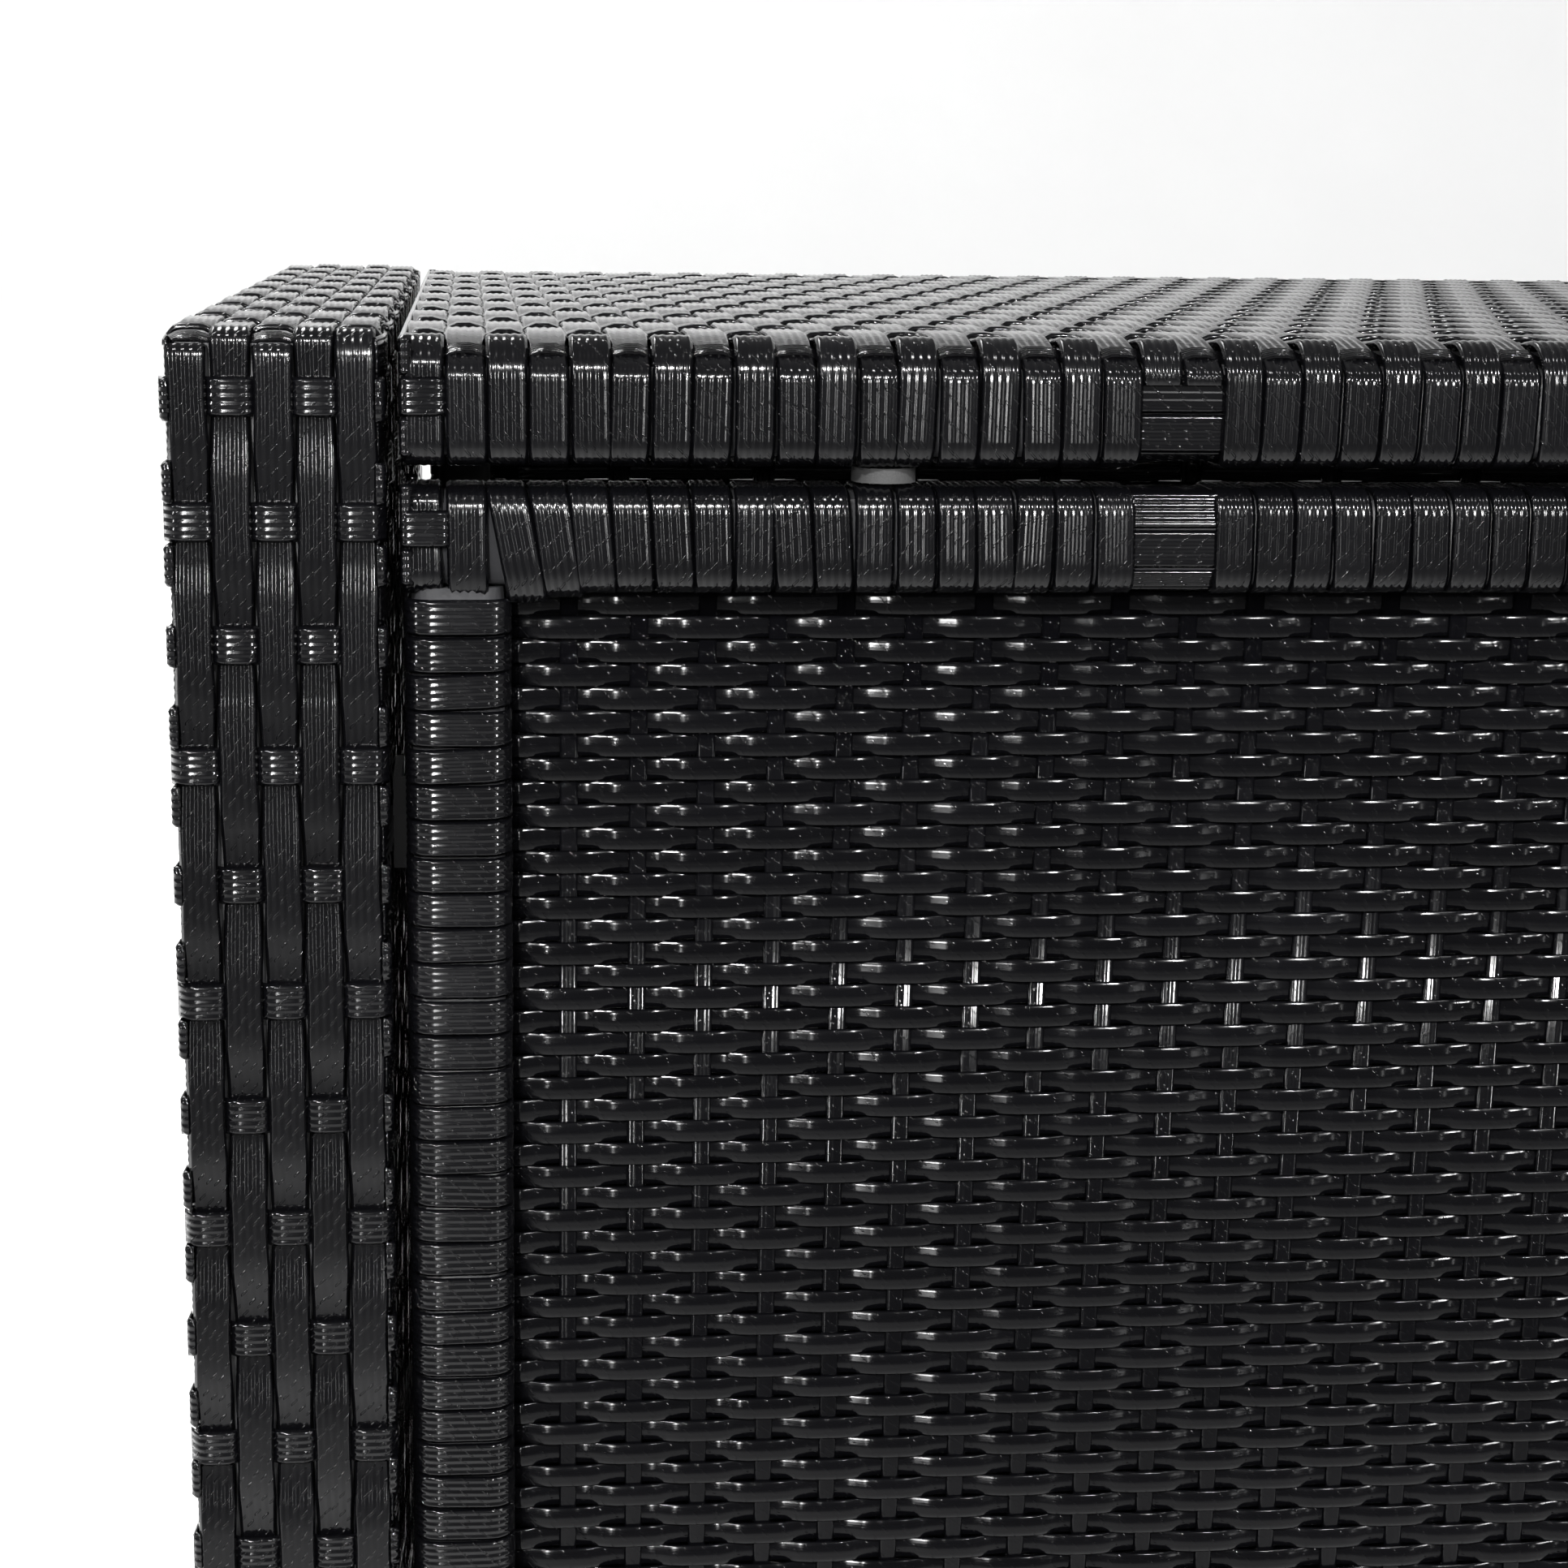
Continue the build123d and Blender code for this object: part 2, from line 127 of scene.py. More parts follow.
class StageSettings(bpy.types.PropertyGroup):
    """Camera, lights and backdrop."""

    camera_place: FloatVectorProperty(
        name="Camera", description="Camera place", subtype="TRANSLATION", default=(-0.5254, -0.928, 0.6351)
    )
    camera_tilt: angle("Tilt down", "Below the horizon", 12.59)
    camera_turn: angle("Turn right", "From straight ahead", 4.66)
    camera_roll: angle("Roll", "About the line of sight", 0.66)
    lens: FloatProperty(name="Lens", description="Focal length in millimetres", default=64.1)
    shift_x: FloatProperty(name="Shift X", description="Of the view", default=0.0562)
    shift_y: FloatProperty(name="Shift Y", description="Of the view", default=0.0126)
    reach: length("Stage reach", "From the middle to the rear wall", 5.0)
    world_strength: FloatProperty(name="World", description="Strength of the even light", default=0.37)


# Shader wiring


class Wire:
    """An output socket that does sums: each operator adds a Math node to the tree."""

    def __init__(self, tree, socket):
        self.tree = tree
        self.socket = socket

    def math(self, operation, *values):
        node = self.tree.nodes.new("ShaderNodeMath")
        node.operation = operation
        for slot, value in enumerate(values):
            plug(self.tree, node.inputs[slot], value)
        return Wire(self.tree, node.outputs[0])

    def __add__(self, other):
        return self.math("ADD", self, other)

    __radd__ = __add__

    def __sub__(self, other):
        return self.math("SUBTRACT", self, other)

    def __rsub__(self, other):
        return self.math("SUBTRACT", other, self)

    def __mul__(self, other):
        return self.math("MULTIPLY", self, other)

    __rmul__ = __mul__

    def __truediv__(self, other):
        return self.math("DIVIDE", self, other)

    def fract(self):
        return self.math("FRACT", self)

    def floor(self):
        return self.math("FLOOR", self)

    def cos(self):
        return self.math("COSINE", self)

    def size(self):
        return self.math("ABSOLUTE", self)

    def fade(self, start, stop):
        """Smooth step from 0 at start to 1 at stop."""
        node = self.tree.nodes.new("ShaderNodeMapRange")
        node.interpolation_type = "SMOOTHSTEP"
        plug(self.tree, node.inputs["Value"], self)
        node.inputs["From Min"].default_value = start
        node.inputs["From Max"].default_value = stop
        return Wire(self.tree, node.outputs["Result"])


def plug(tree, target, value):
    """Links a wire to an input, or sets the input's own value."""
    if isinstance(value, Wire):
        tree.links.new(value.socket, target)
    else:
        target.default_value = value


class Finish:
    """One material and its node tree."""

    def __init__(self, name):
        self.material = bpy.data.materials.new(name)
        self.material.use_nodes = True
        self.tree = self.material.node_tree
        self.shader = self.tree.nodes["Principled BSDF"]

    def node(self, kind, settings=None, inputs=None, output=0):
        """Adds any node: its type, its settings, its inputs by name, and the output wanted."""
        node = self.tree.nodes.new(kind)
        for name, value in (settings or {}).items():
            setattr(node, name, value)
        for name, value in (inputs or {}).items():
            plug(self.tree, node.inputs[name], value)
        return Wire(self.tree, node.outputs[output])

    def mix(self, share, first, second):
        """A colour between two colours."""
        node = self.tree.nodes.new("ShaderNodeMix")
        node.data_type = "RGBA"
        plug(self.tree, node.inputs[0], share)
        plug(self.tree, node.inputs[6], first)
        plug(self.tree, node.inputs[7], second)
        return Wire(self.tree, node.outputs[2])

    def place(self):
        return self.node("ShaderNodeTexCoord", output="Object")

    def noise(self, scale, detail=3.0, where=None):
        inputs = {"Vector": where or self.place(), "Scale": scale, "Detail": detail}
        return self.node("ShaderNodeTexNoise", inputs=inputs)

    def bump(self, height, distance, strength=1.0):
        inputs = {"Height": height, "Distance": distance, "Strength": strength}
        return self.node("ShaderNodeBump", inputs=inputs)

    def set(self, **sockets):
        for name, value in sockets.items():
            plug(self.tree, self.shader.inputs[name.replace("_", " ").title()], value)

    def uniform(self, name, value):
        self.shader.inputs[name].default_value = value


def rgba(colour, gain=1.0):
    return (*[min(1.0, part * gain) for part in colour], 1.0)


def strand_finish(name, finish, ridges, nick_pitch, relief, mirror):
    """Glossy ribbed resin. Across the strand (u from 0 to 1) run whole cosine ridges with finer
    ones on them; along it (v in strand widths) short slanted nicks repeat with a shift that
    differs from ridge to ridge. mirror is the refractive index that sets the shine."""
    paint = Finish(name)
    uv = paint.node("ShaderNodeSeparateXYZ", inputs={"Vector": paint.node("ShaderNodeUVMap")})
    along = Wire(paint.tree, uv.socket.node.outputs["Y"])
    tone = paint.node("ShaderNodeAttribute", {"attribute_name": "tone"}, output="Fac")
    lane = (uv * ridges).floor()
    across = (uv * ridges).fract()
    ridge = 0.5 - (uv * (2 * pi * ridges)).cos() * 0.5
    fine = 0.5 - (uv * (2 * pi * ridges * 3)).cos() * 0.5
    shift = ((lane * 12.9898 + tone * 37.719).cos() * 43758.5453).fract()
    nick_line = (along / nick_pitch + shift + across * 0.34).fract()
    nick = 1.0 - (nick_line - 0.5).size().fade(0.035, 0.075)
    nick = nick * (across - 0.5).size().fade(0.48, 0.30)
    place = paint.place()
    scuff = paint.noise(90.0, 4.0, place)
    height = ridge * 0.9 + fine * 0.03 + nick * 0.75 + scuff * 0.02
    dust = paint.noise(14.0, 5.0, place).fade(0.45, 0.75)
    dark, worn = rgba(finish.strand_colour), rgba(finish.strand_colour, 1.9)
    paint.set(base_color=paint.mix(dust * 0.35 + tone * 0.4, dark, worn))
    rough = finish.strand_roughness + scuff * 0.04 + tone * 0.03 + dust * 0.04 - nick * 0.03
    paint.set(roughness=rough)
    paint.set(normal=paint.bump(height, finish.ridge_height * relief))
    paint.uniform("IOR", mirror)
    return paint.material


def powder_coat(name, colour, grain):
    """Sprayed and baked paint: an orange-peel noise in the height, dust and rubbed spots in the gloss."""
    paint = Finish(name)
    place = paint.place()
    peel = paint.noise(grain, 2.0, place)
    wear = paint.noise(35.0, 6.0, place).fade(0.52, 0.72)
    paint.set(base_color=paint.mix(wear * 0.5, rgba(colour), rgba(colour, 2.2)))
    paint.set(roughness=0.36 + peel * 0.18 + wear * 0.1)
    paint.set(normal=paint.bump(peel, 0.00008, 0.6))
    return paint.material


def bright_metal(name, colour, roughness, scratch):
    """Plated or chromed steel: stretched noise for drawing marks and cloudy variation in the gloss."""
    paint = Finish(name)
    place = paint.place()
    stretched = paint.node(
        "ShaderNodeMapping", inputs={"Vector": place, "Scale": (scratch, scratch * 9, scratch * 9)}
    )
    marks = paint.noise(60.0, 5.0, stretched)
    cloud = paint.noise(120.0, 3.0, place)
    paint.set(base_color=paint.mix(cloud * 0.6, rgba(colour), rgba(colour, 0.72)))
    paint.uniform("Metallic", 1.0)
    paint.set(roughness=roughness + marks * 0.12 + cloud * 0.08)
    paint.set(normal=paint.bump(marks, 0.00003, 0.5))
    return paint.material


def moulded(name, colour, roughness, grain):
    """Rubber or moulded plastic: fine spark-eroded grain and a slight bloom."""
    paint = Finish(name)
    place = paint.place()
    pits = paint.node("ShaderNodeTexVoronoi", inputs={"Vector": place, "Scale": grain})
    bloom = paint.noise(40.0, 4.0, place).fade(0.4, 0.7)
    paint.set(base_color=paint.mix(bloom * 0.6, rgba(colour), rgba(colour, 2.0)))
    paint.set(roughness=roughness + pits * 0.12 + bloom * 0.08)
    paint.set(normal=paint.bump(pits, 0.00005, 0.7))
    return paint.material


# Strand surfaces


def outline(sides):
    """Closed outline, one unit wide and high. RIDGED: a flat strip whose top zigzags over five
    ridges. FLAT: a six-sided strip with its edges sloped off. SQUARE: x = |cos|^0.5 and
    y = |sin|^0.5 with their signs, a rounded square bar. Any other count: x = |cos|^0.35 and
    y = |sin|^0.7, a flat strip with rounded edges."""
    if sides == RIDGED:
        across = np.append(np.linspace(0.5, -0.5, 11), [-0.45, 0.45])
        up = np.where(np.arange(11) % 2, 0.5, 0.34)
        up[[0, -1]] = 0.0
        return across, np.append(up, [-0.5, -0.5])
    if sides == FLAT:
        return np.array([0.5, 0.43, -0.43, -0.5, -0.43, 0.43]), np.array([0, 0.5, 0.5, 0, -0.5, -0.5])
    bend, rise = (0.5, 0.5) if sides == SQUARE else (0.35, 0.7)
    angle = (np.arange(sides) + 0.5) * 2 * pi / sides
    across = np.sign(np.cos(angle)) * np.abs(np.cos(angle)) ** bend
    up = np.sign(np.sin(angle)) * np.abs(np.sin(angle)) ** rise
    return across / np.abs(across).max() / 2, up / np.abs(up).max() / 2


def dip(phase, sharp=1.7):
    """0 where a strand is over and 1 where it is under: a cosine pressed flat by tanh."""
    return 0.5 - 0.5 * np.tanh(sharp * np.cos(phase)) / np.tanh(sharp)


def column_dip(phase):
    """How far a column lies under, from 0 to 1. The power keeps it up for longer."""
    return dip(phase) ** 1.35


def crossings(where, start, gap, orders):
    """Phase of a weave, one row for each strand: it grows by pi from one crossing to the next and
    from one strand to the next."""
    return pi * (where[None] - start) / gap + pi * orders[:, None]


def between(where, start, gap):
    """sin^2 of the phase: 0 at a crossing and 1 midway to the next."""
    return np.sin(pi * (where - start) / gap) ** 2


def ease(value, start, stop):
    """Smooth step from 0 at start to 1 at stop."""
    share = np.clip((value - start) / (stop - start), 0, 1)
    return share * share * (3 - 2 * share)


class Route:
    """A rounded path in one plane: points, tangents and outward normals along its length."""

    def __init__(self, corners, radius, step, first, second, closed=False, turn_steps=5, outward=1):
        corners = np.array(corners, float)
        count = len(corners)
        radii = np.broadcast_to(radius, count)
        pieces = []
        for i in range(count):
            here = corners[i]
            if not closed and i in (0, count - 1):
                pieces.append((here, here, here[None]))
                continue
            back = corners[i - 1] - here
            ahead = corners[(i + 1) % count] - here
            back /= np.linalg.norm(back)
            ahead /= np.linalg.norm(ahead)
            half_angle = np.arccos(np.clip(back @ ahead, -1, 1)) / 2
            run = radii[i] / np.tan(half_angle)
            centre = here + (back + ahead) / np.linalg.norm(back + ahead) * radii[i] / np.sin(half_angle)
            arms = np.array([here + back * run - centre, here + ahead * run - centre])
            share = np.linspace(0, 1, turn_steps)[:, None]
            sweep = pi - 2 * half_angle
            arc = np.sin((1 - share) * sweep) * arms[0] + np.sin(share * sweep) * arms[1]
            arc = centre + arc / np.sin(sweep)
            pieces.append((arc[0], arc[-1], arc))
        points = []
        for i, (_, leave, arc) in enumerate(pieces):
            points.append(arc)
            if i == count - 1 and not closed:
                break
            enter = pieces[(i + 1) % count][0]
            cuts = max(1, int(round(np.linalg.norm(enter - leave) / step)))
            points.append(leave + (enter - leave) * (np.arange(1, cuts) / cuts)[:, None])
        flat = np.concatenate(points)
        following = np.roll(flat, -1, 0) if closed else np.vstack([flat[1:], 2 * flat[-1] - flat[-2]])
        previous = np.roll(flat, 1, 0) if closed else np.vstack([2 * flat[0] - flat[1], flat[:-1]])
        tangent = following - previous
        tangent /= np.linalg.norm(tangent, axis=1)[:, None]
        side = np.stack([tangent[:, 1], -tangent[:, 0]], 1) * outward
        self.closed = closed
        self.length = np.concatenate([[0], np.cumsum(np.linalg.norm(np.diff(flat, axis=0), axis=1))])
        self.total = self.length[-1] + (np.linalg.norm(flat[0] - flat[-1]) if closed else 0)
        plane = np.stack([first, second])
        self.points, self.tangent, self.normal = flat @ plane, tangent @ plane, side @ plane

    def at(self, where):
        """Point, tangent and normal at given lengths, between the samples by straight lines."""
        where = np.atleast_1d(where)
        wanted = []
        for rows in (self.points, self.tangent, self.normal):
            known, spot = self.length, where
            if self.closed:
                rows, known = np.vstack([rows, rows[:1]]), np.append(known, self.total)
                spot = where % self.total
            wanted.append(np.stack([np.interp(spot, known, rows[:, k]) for k in range(3)], 1))
        point, tangent, normal = wanted
        tangent = tangent / np.linalg.norm(tangent, axis=1)[:, None]
        normal = normal / np.linalg.norm(normal, axis=1)[:, None]
        return point, tangent, normal


class Strands:
    """Gathers strands into one mesh. Each strand is an outline carried along its own path."""

    def __init__(self, rng):
        self.rng = rng
        self.places, self.loops, self.starts, self.uvs, self.tones = [], [], [], [], []
        self.used = 0
        self.corner_count = 0

    def add(self, centre, across, up, width, thickness, sides=12, closed=False):
        """centre, across and up are (strand, sample, 3). Point = centre + across * width * outline
        across + up * thickness * outline up, for every strand, sample and outline point at once."""
        strands, samples = centre.shape[:2]
        across = np.broadcast_to(across, centre.shape)
        up = np.broadcast_to(up, centre.shape)
        width = np.broadcast_to(width, (strands, samples))
        thickness = np.broadcast_to(thickness, (strands, samples))
        wide, high = outline(sides)
        cloud = (
            centre[:, :, None]
            + across[:, :, None] * (width[:, :, None] * wide)[..., None]
            + up[:, :, None] * (thickness[:, :, None] * high)[..., None]
        )
        grid = np.arange(strands * samples * sides).reshape(strands, samples, sides)
        if closed:
            ahead = np.roll(grid, -1, 1)
        else:
            ahead = grid[:, 1:]
            grid = grid[:, :-1]
        quads = np.stack([grid, ahead, np.roll(ahead, -1, 2), np.roll(grid, -1, 2)], -1).reshape(-1, 4)
        along = centre[:, 1] - centre[:, 0]
        facing = np.sum(np.cross(across[:, 0], along) * up[:, 0])
        if facing < 0:
            quads = quads[:, ::-1]
        rows = [quads]
        if not closed:
            ends = np.arange(strands * samples * sides).reshape(strands, samples, sides)
            caps = np.concatenate([ends[:, 0], ends[:, -1][:, ::-1]])
            rows.append(caps[:, ::-1] if facing < 0 else caps)
        loop = np.concatenate([centre, centre[:, :1]], 1) if closed else centre
        steps = np.linalg.norm(np.diff(loop, axis=1), axis=2)
        run = np.concatenate([np.zeros((strands, 1)), np.cumsum(steps, 1)], 1)
        tone = self.rng.random(strands)
        v = run / np.mean(width) + tone[:, None] * 17.0
        for row in rows:
            flat = row.reshape(-1)
            strand, rest = np.divmod(flat, samples * sides)
            sample, point = np.divmod(rest, sides)
            if closed:
                by_quad = sample.reshape(-1, 4)
                seam = (by_quad.max(1) - by_quad.min(1) > 1)[:, None] & (by_quad == 0)
                sample = np.where(seam, samples, by_quad).reshape(-1)
            self.uvs.append(np.stack([wide[point] + 0.5, v[strand, sample]], 1))
            self.loops.append(flat + self.used)
            self.starts.append(self.corner_count + np.arange(len(row)) * row.shape[1])
            self.corner_count += flat.size
        self.places.append(cloud.reshape(-1, 3))
        self.tones.append(np.repeat(tone, samples * sides))
        self.used += strands * samples * sides

    def build(self, name, material, body, *nodes, slot="resin_strand"):
        mesh = bpy.data.meshes.new(name)
        places = np.concatenate(self.places).astype(np.float32)
        if not np.isfinite(places).all():
            raise ValueError(f"{name} has a strand with no direction")
        loops = np.concatenate(self.loops).astype(np.int32)
        starts = np.concatenate(self.starts).astype(np.int32)
        mesh.vertices.add(len(places))
        mesh.vertices.foreach_set("co", places.ravel())
        mesh.loops.add(len(loops))
        mesh.loops.foreach_set("vertex_index", loops)
        mesh.polygons.add(len(starts))
        mesh.polygons.foreach_set("loop_start", starts)
        mesh.update(calc_edges=True)
        mesh.polygons.foreach_set("use_smooth", np.ones(len(starts), bool))
        layer = mesh.uv_layers.new(name="UVMap")
        layer.data.foreach_set("uv", np.concatenate(self.uvs).astype(np.float32).ravel())
        shade = mesh.attributes.new("tone", "FLOAT", "POINT")
        shade.data.foreach_set("value", np.concatenate(self.tones).astype(np.float32))
        if mesh.validate():
            raise ValueError(f"{name} has faces that are not valid")
        mesh.materials.append(material)
        piece = bpy.data.objects.new(name, mesh)
        bpy.context.scene.collection.objects.link(piece)
        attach(piece, body)
        if nodes:
            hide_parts(*nodes)
        return piece


def rows_between(low, high, pitch):
    """Centres of equal strands that fill the span, as near the wanted pitch as fits."""
    count = max(1, int(round((high - low) / pitch)))
    step = (high - low) / count
    return low + step * (np.arange(count) + 0.5), step


def even_rows(total, gap):
    """Places one gap apart, centred on a length."""
    count = int(total / gap)
    return (total - gap * (count - 1)) / 2 + gap * np.arange(count)


def strand_waver(rng, count, length, size):
    """Slow sideways drift for each strand: two sines of random phase, and a small fixed offset."""
    phase = rng.random((count, 2)) * 2 * pi
    drift = np.sin(phase[:, :1] + length[None] * 41.0) + 0.6 * np.sin(phase[:, 1:] + length[None] * 97.0)
    return size * (0.5 * drift + rng.normal(0, 0.35, (count, 1)))


def lay_along(strands, route, places, sideways, depth, width, thickness, sides=12, part=slice(None)):
    """Strands that follow a route side by side: point = route point - normal * depth + sideways
    axis * place. places and depth are (strand, sample). part picks samples of an open route."""
    points, normal = route.points[part], route.normal[part]
    centre = points[None] - normal[None] * depth[..., None] + sideways * places[..., None]
    strands.add(centre, sideways, normal[None], width, thickness, sides, route.closed)


def lay_across(strands, route, lengths, reach, sideways, depth, width, thickness, sides=12):
    """Strands that cross a route: each lies at one length of it and runs along the sideways axis.
    reach is the samples along that axis and depth is (strand, sample)."""
    point, tangent, normal = route.at(lengths)
    bend = np.sort(np.abs(normal), axis=1)[:, 1] * 2**0.5
    bend = ease(bend, 0.1, 0.8)[:, None]
    width = width * (1 - 0.42 * bend)
    depth = depth + bend * 0.9 * MM
    centre = point[:, None] - normal[:, None] * depth[..., None] + sideways * reach[None, :, None]
    strands.add(centre, tangent[:, None], normal[:, None], width, thickness, sides)


def crown(route, share, low, high):
    """How far a wrap lies below the box it fills: share at the corners and none at mid face."""
    middle = (low + high) / 2
    half = (high - low) / 2
    reach = np.abs((route.points - middle) / half)
    kept = np.sort(reach * (half[None] > 0), axis=1)
    return share * np.clip(kept[:, 1], 0, 1) ** 2


def plain_weave(strands, rng, cfg, route, span, rows, sideways, thick, step, sides=FLAT):
    """Plain weave: strands lie side by side along a route, cross strands lie at the given lengths,
    and each crossing is over or under by the parity of row plus column. span is the sheet's low
    and high edge on the sideways axis, and step is between the samples of a cross strand."""
    places, pitch = rows_between(*span, cfg.pitch)
    gap = rows[1] - rows[0]
    travel = thick - cfg.thickness
    phase = crossings(route.length, rows[0], gap, np.arange(len(places)))
    depth = cfg.thickness / 2 + travel * column_dip(phase)
    narrow = 0.975 + 0.025 * between(route.length, rows[0], gap)
    side = places[:, None] + strand_waver(rng, len(places), route.length, cfg.waver * 0.35)
    width = pitch * 1.03 * narrow[None]
    lay_along(strands, route, side, sideways, depth, width, cfg.thickness, sides)
    low, high = min(span), max(span)
    cuts = max(4, int(round((high - low) / step)))
    reach = np.linspace(low - 0.0012, high + 0.0012, cuts)
    cross_phase = crossings(reach, places[0], pitch, np.arange(1, len(rows) + 1))
    edge = ease(np.abs(reach - (low + high) / 2), (high - low) / 2 - 0.0015, (high - low) / 2 + 0.0015)
    cross_depth = cfg.thickness / 2 + travel * np.maximum(dip(cross_phase, 2.2), edge[None])
    lay_across(
        strands, route, rows, reach, sideways, cross_depth, cfg.width * 0.95, cfg.thickness, FLAT
    )


def flat_sheet(name, node, material, cfg, rng, ends, axes, span, sideways, thick, step):
    """A plain weave in one flat sheet, its strands running between two ends."""
    route = Route(ends, 0, 10 * MM, *axes, outward=-1)
    rows = even_rows(route.total, cfg.cross_pitch)
    weave = Strands(rng)
    plain_weave(weave, rng, cfg, route, span, rows, sideways, thick, step)
    weave.build(name, material, "box", node)


def end_strands(strands, cfg, levels, paths, radius, step, width, turn):
    """Strands over an end, one above another, each along its own path with its tips tucked in."""
    for z, corners in zip(levels, paths):
        route = Route(corners, radius, step, X, Y, turn_steps=5, outward=turn)
        tip = np.minimum(route.length, route.total - route.length)
        depth = (cfg.thickness / 2 + 1.3 * MM * ease(tip, 2.2 * MM, 0.0))[None]
        places = np.full(depth.shape, z)
        lay_along(strands, route, places, Z, depth, width, cfg.thickness * 0.9, RIDGED)


def settings(context):
    return context.scene.deck_box_strand, context.scene.deck_box_finish


def frame_coat():
    """The frame's powder coat, made once."""
    if "frame_coat" not in bpy.data.materials:
        powder_coat("frame_coat", bpy.context.scene.deck_box_finish.coat_colour, 900.0)
    return bpy.data.materials["frame_coat"]


def resin(finish):
    """The two strand finishes, made once: ridges, pitch of nicks, relief and mirror of each."""
    wanted = {"wide_strand": (5, 0.62, 1.0, 1.30), "narrow_strand": (3, 0.9, 0.2, 1.19)}
    for name, (ridges, nick_pitch, relief, mirror) in wanted.items():
        if name not in bpy.data.materials:
            strand_finish(name, finish, ridges, nick_pitch, relief, mirror)
    return bpy.data.materials["wide_strand"], bpy.data.materials["narrow_strand"]


# Pieces


def away_from_edges(reach, low, high):
    """How far each place along X lies inside the nearer side of a box."""
    return np.minimum(reach - low[0], high[0] - reach)


class DECKBOX_OT_side_panels(bpy.types.Operator):
    """Weaves both side panels: loops over the front, top and back, and sheets on both faces."""

    bl_idname = "deck_box.side_panels"
    bl_label = "Weave side panels"

    def loops(self, cfg, wide, rng, side_name, side):
        """Columns that run round the panel, the cross strands between them, and a narrow rim
        strand just behind the top of the front, over two of the columns."""
        node = f"side_skin_{side_name}"
        low, high = corner_values(node)
        corners = [(low[1], low[2]), (high[1], low[2]), (high[1], high[2]), (low[1], high[2])]
        route = Route(corners, SLAB_CORNER, 4.6 * MM, Y, Z, closed=True, turn_steps=7)
        count = 2 * int(round(route.total / cfg.cross_pitch / 2))
        gap = route.total / count
        face_top = route.total - (high[2] - low[2] - 2 * SLAB_CORNER)
        first, rim_at = face_top + 8.7 * MM, face_top - 9.0 * MM
        rows = (first + gap * np.arange(count)) % route.total
        loops = Strands(rng)
        edge = 1.8 * MM
        places, pitch = rows_between(low[0] + edge, high[0] - edge, cfg.pitch)
        travel = 4 * MM - cfg.thickness
        phase = crossings(route.length, first, gap, np.arange(len(places)))
        depth = cfg.thickness / 2 + travel * column_dip(phase)
        narrow = 0.93 + 0.07 * between(route.length, first, gap)
        drift = strand_waver(rng, len(places), route.length, cfg.waver)
        join = np.minimum(route.length, route.total - route.length)
        sideways = places[:, None] + drift * ease(join, 0, 0.02)
        under_rim = np.isin(np.arange(len(places))[::-side], (0, 2))
        by_rim = 1 - ease(np.abs(route.length - rim_at), 2.5 * MM, 6.0 * MM)
        pressed = cfg.thickness / 2 + travel * by_rim[None] * under_rim[:, None]
        raised = depth * (1 - by_rim) + by_rim * cfg.thickness / 2
        depth = np.maximum(pressed, np.where(under_rim[:, None], depth, raised))
        lay_along(loops, route, sideways, X, depth, cfg.width * narrow[None], cfg.thickness, RIDGED)

        reach = np.linspace(low[0] + 0.2 * MM, high[0] - 0.2 * MM, 44)
        nearest = np.abs(reach[:, None] - places[None]).argmin(1)
        rim = cfg.thickness / 2 + np.where(under_rim[nearest], 0.5 * MM, travel)
        rim = np.convolve(np.pad(rim, 2, "edge"), np.ones(5) / 5, "valid")
        rim = rim + ease(away_from_edges(reach, low, high), 5 * MM, 0.8 * MM) * 1.9 * MM
        where = np.array([rim_at])
        lay_across(loops, route, where, reach[1:-1], X, rim[None, 1:-1], 6.0 * MM, cfg.thickness, 10)
        cross_phase = crossings(reach, places[0], pitch, np.arange(1, count + 1))
        away = np.abs(reach - (low[0] + high[0]) / 2)
        half_width = (high[0] - low[0]) / 2
        fall = ease(away, half_width - 2.2 * MM, half_width) * 1.6 * MM
        cross_depth = cfg.thickness / 2 + travel * dip(cross_phase, 2.4) + fall
        lay_across(loops, route, rows, reach, X, cross_depth, cfg.width * 0.97, cfg.thickness, RIDGED)
        loops.build(f"side_loops_{side_name}", wide, "box", node)

    def faces(self, cfg, wide, rng, side_name, side):
        """A plain weave on the outer and the inner face, turned in at its front and back edge."""
        low, high = corner_values(f"side_skin_{side_name}")
        inner, outer = (low[0], high[0]) if side > 0 else (high[0], low[0])
        sheets = (("outer", outer, side, 7.5 * MM, RIDGED), ("inner", inner, -side, 12.0 * MM, FLAT))
        for face, x, facing, step, sides in sheets:
            inset = x - facing * 2.3 * MM
            corners = [(inset, low[1]), (x, low[1]), (x, high[1]), (inset, high[1])]
            route = Route(corners, 2.2 * MM, step, X, Y, turn_steps=4, outward=facing)
            rows = even_rows(route.total, cfg.cross_pitch)
            sheet = Strands(rng)
            span = (low[2] + 1 * MM, high[2] - 2.5 * MM)
            plain_weave(sheet, rng, cfg, route, span, rows, Z, 3.2 * MM, 4.0 * MM, sides)
            sheet.build(f"side_{face}_{side_name}", wide, "box")

    def execute(self, context):
        cfg, finish = settings(context)
        wide, _ = resin(finish)
        for side_name, side in SIDES.items():
            rng = np.random.default_rng(cfg.seed + 20 + side)
            self.loops(cfg, wide, rng, side_name, side)
            self.faces(cfg, wide, rng, side_name, side)
        return {"FINISHED"}


def wrap_route(low, high, first, second, step):
    """Closed route round a tube whose box has the given corners in the plane of two axes."""
    a, b = int(np.argmax(first)), int(np.argmax(second))
    corners = [(low[a], low[b]), (high[a], low[b]), (high[a], high[b]), (low[a], high[b])]
    return Route(corners, TUBE_CORNER, step, first, second, closed=True, turn_steps=5)


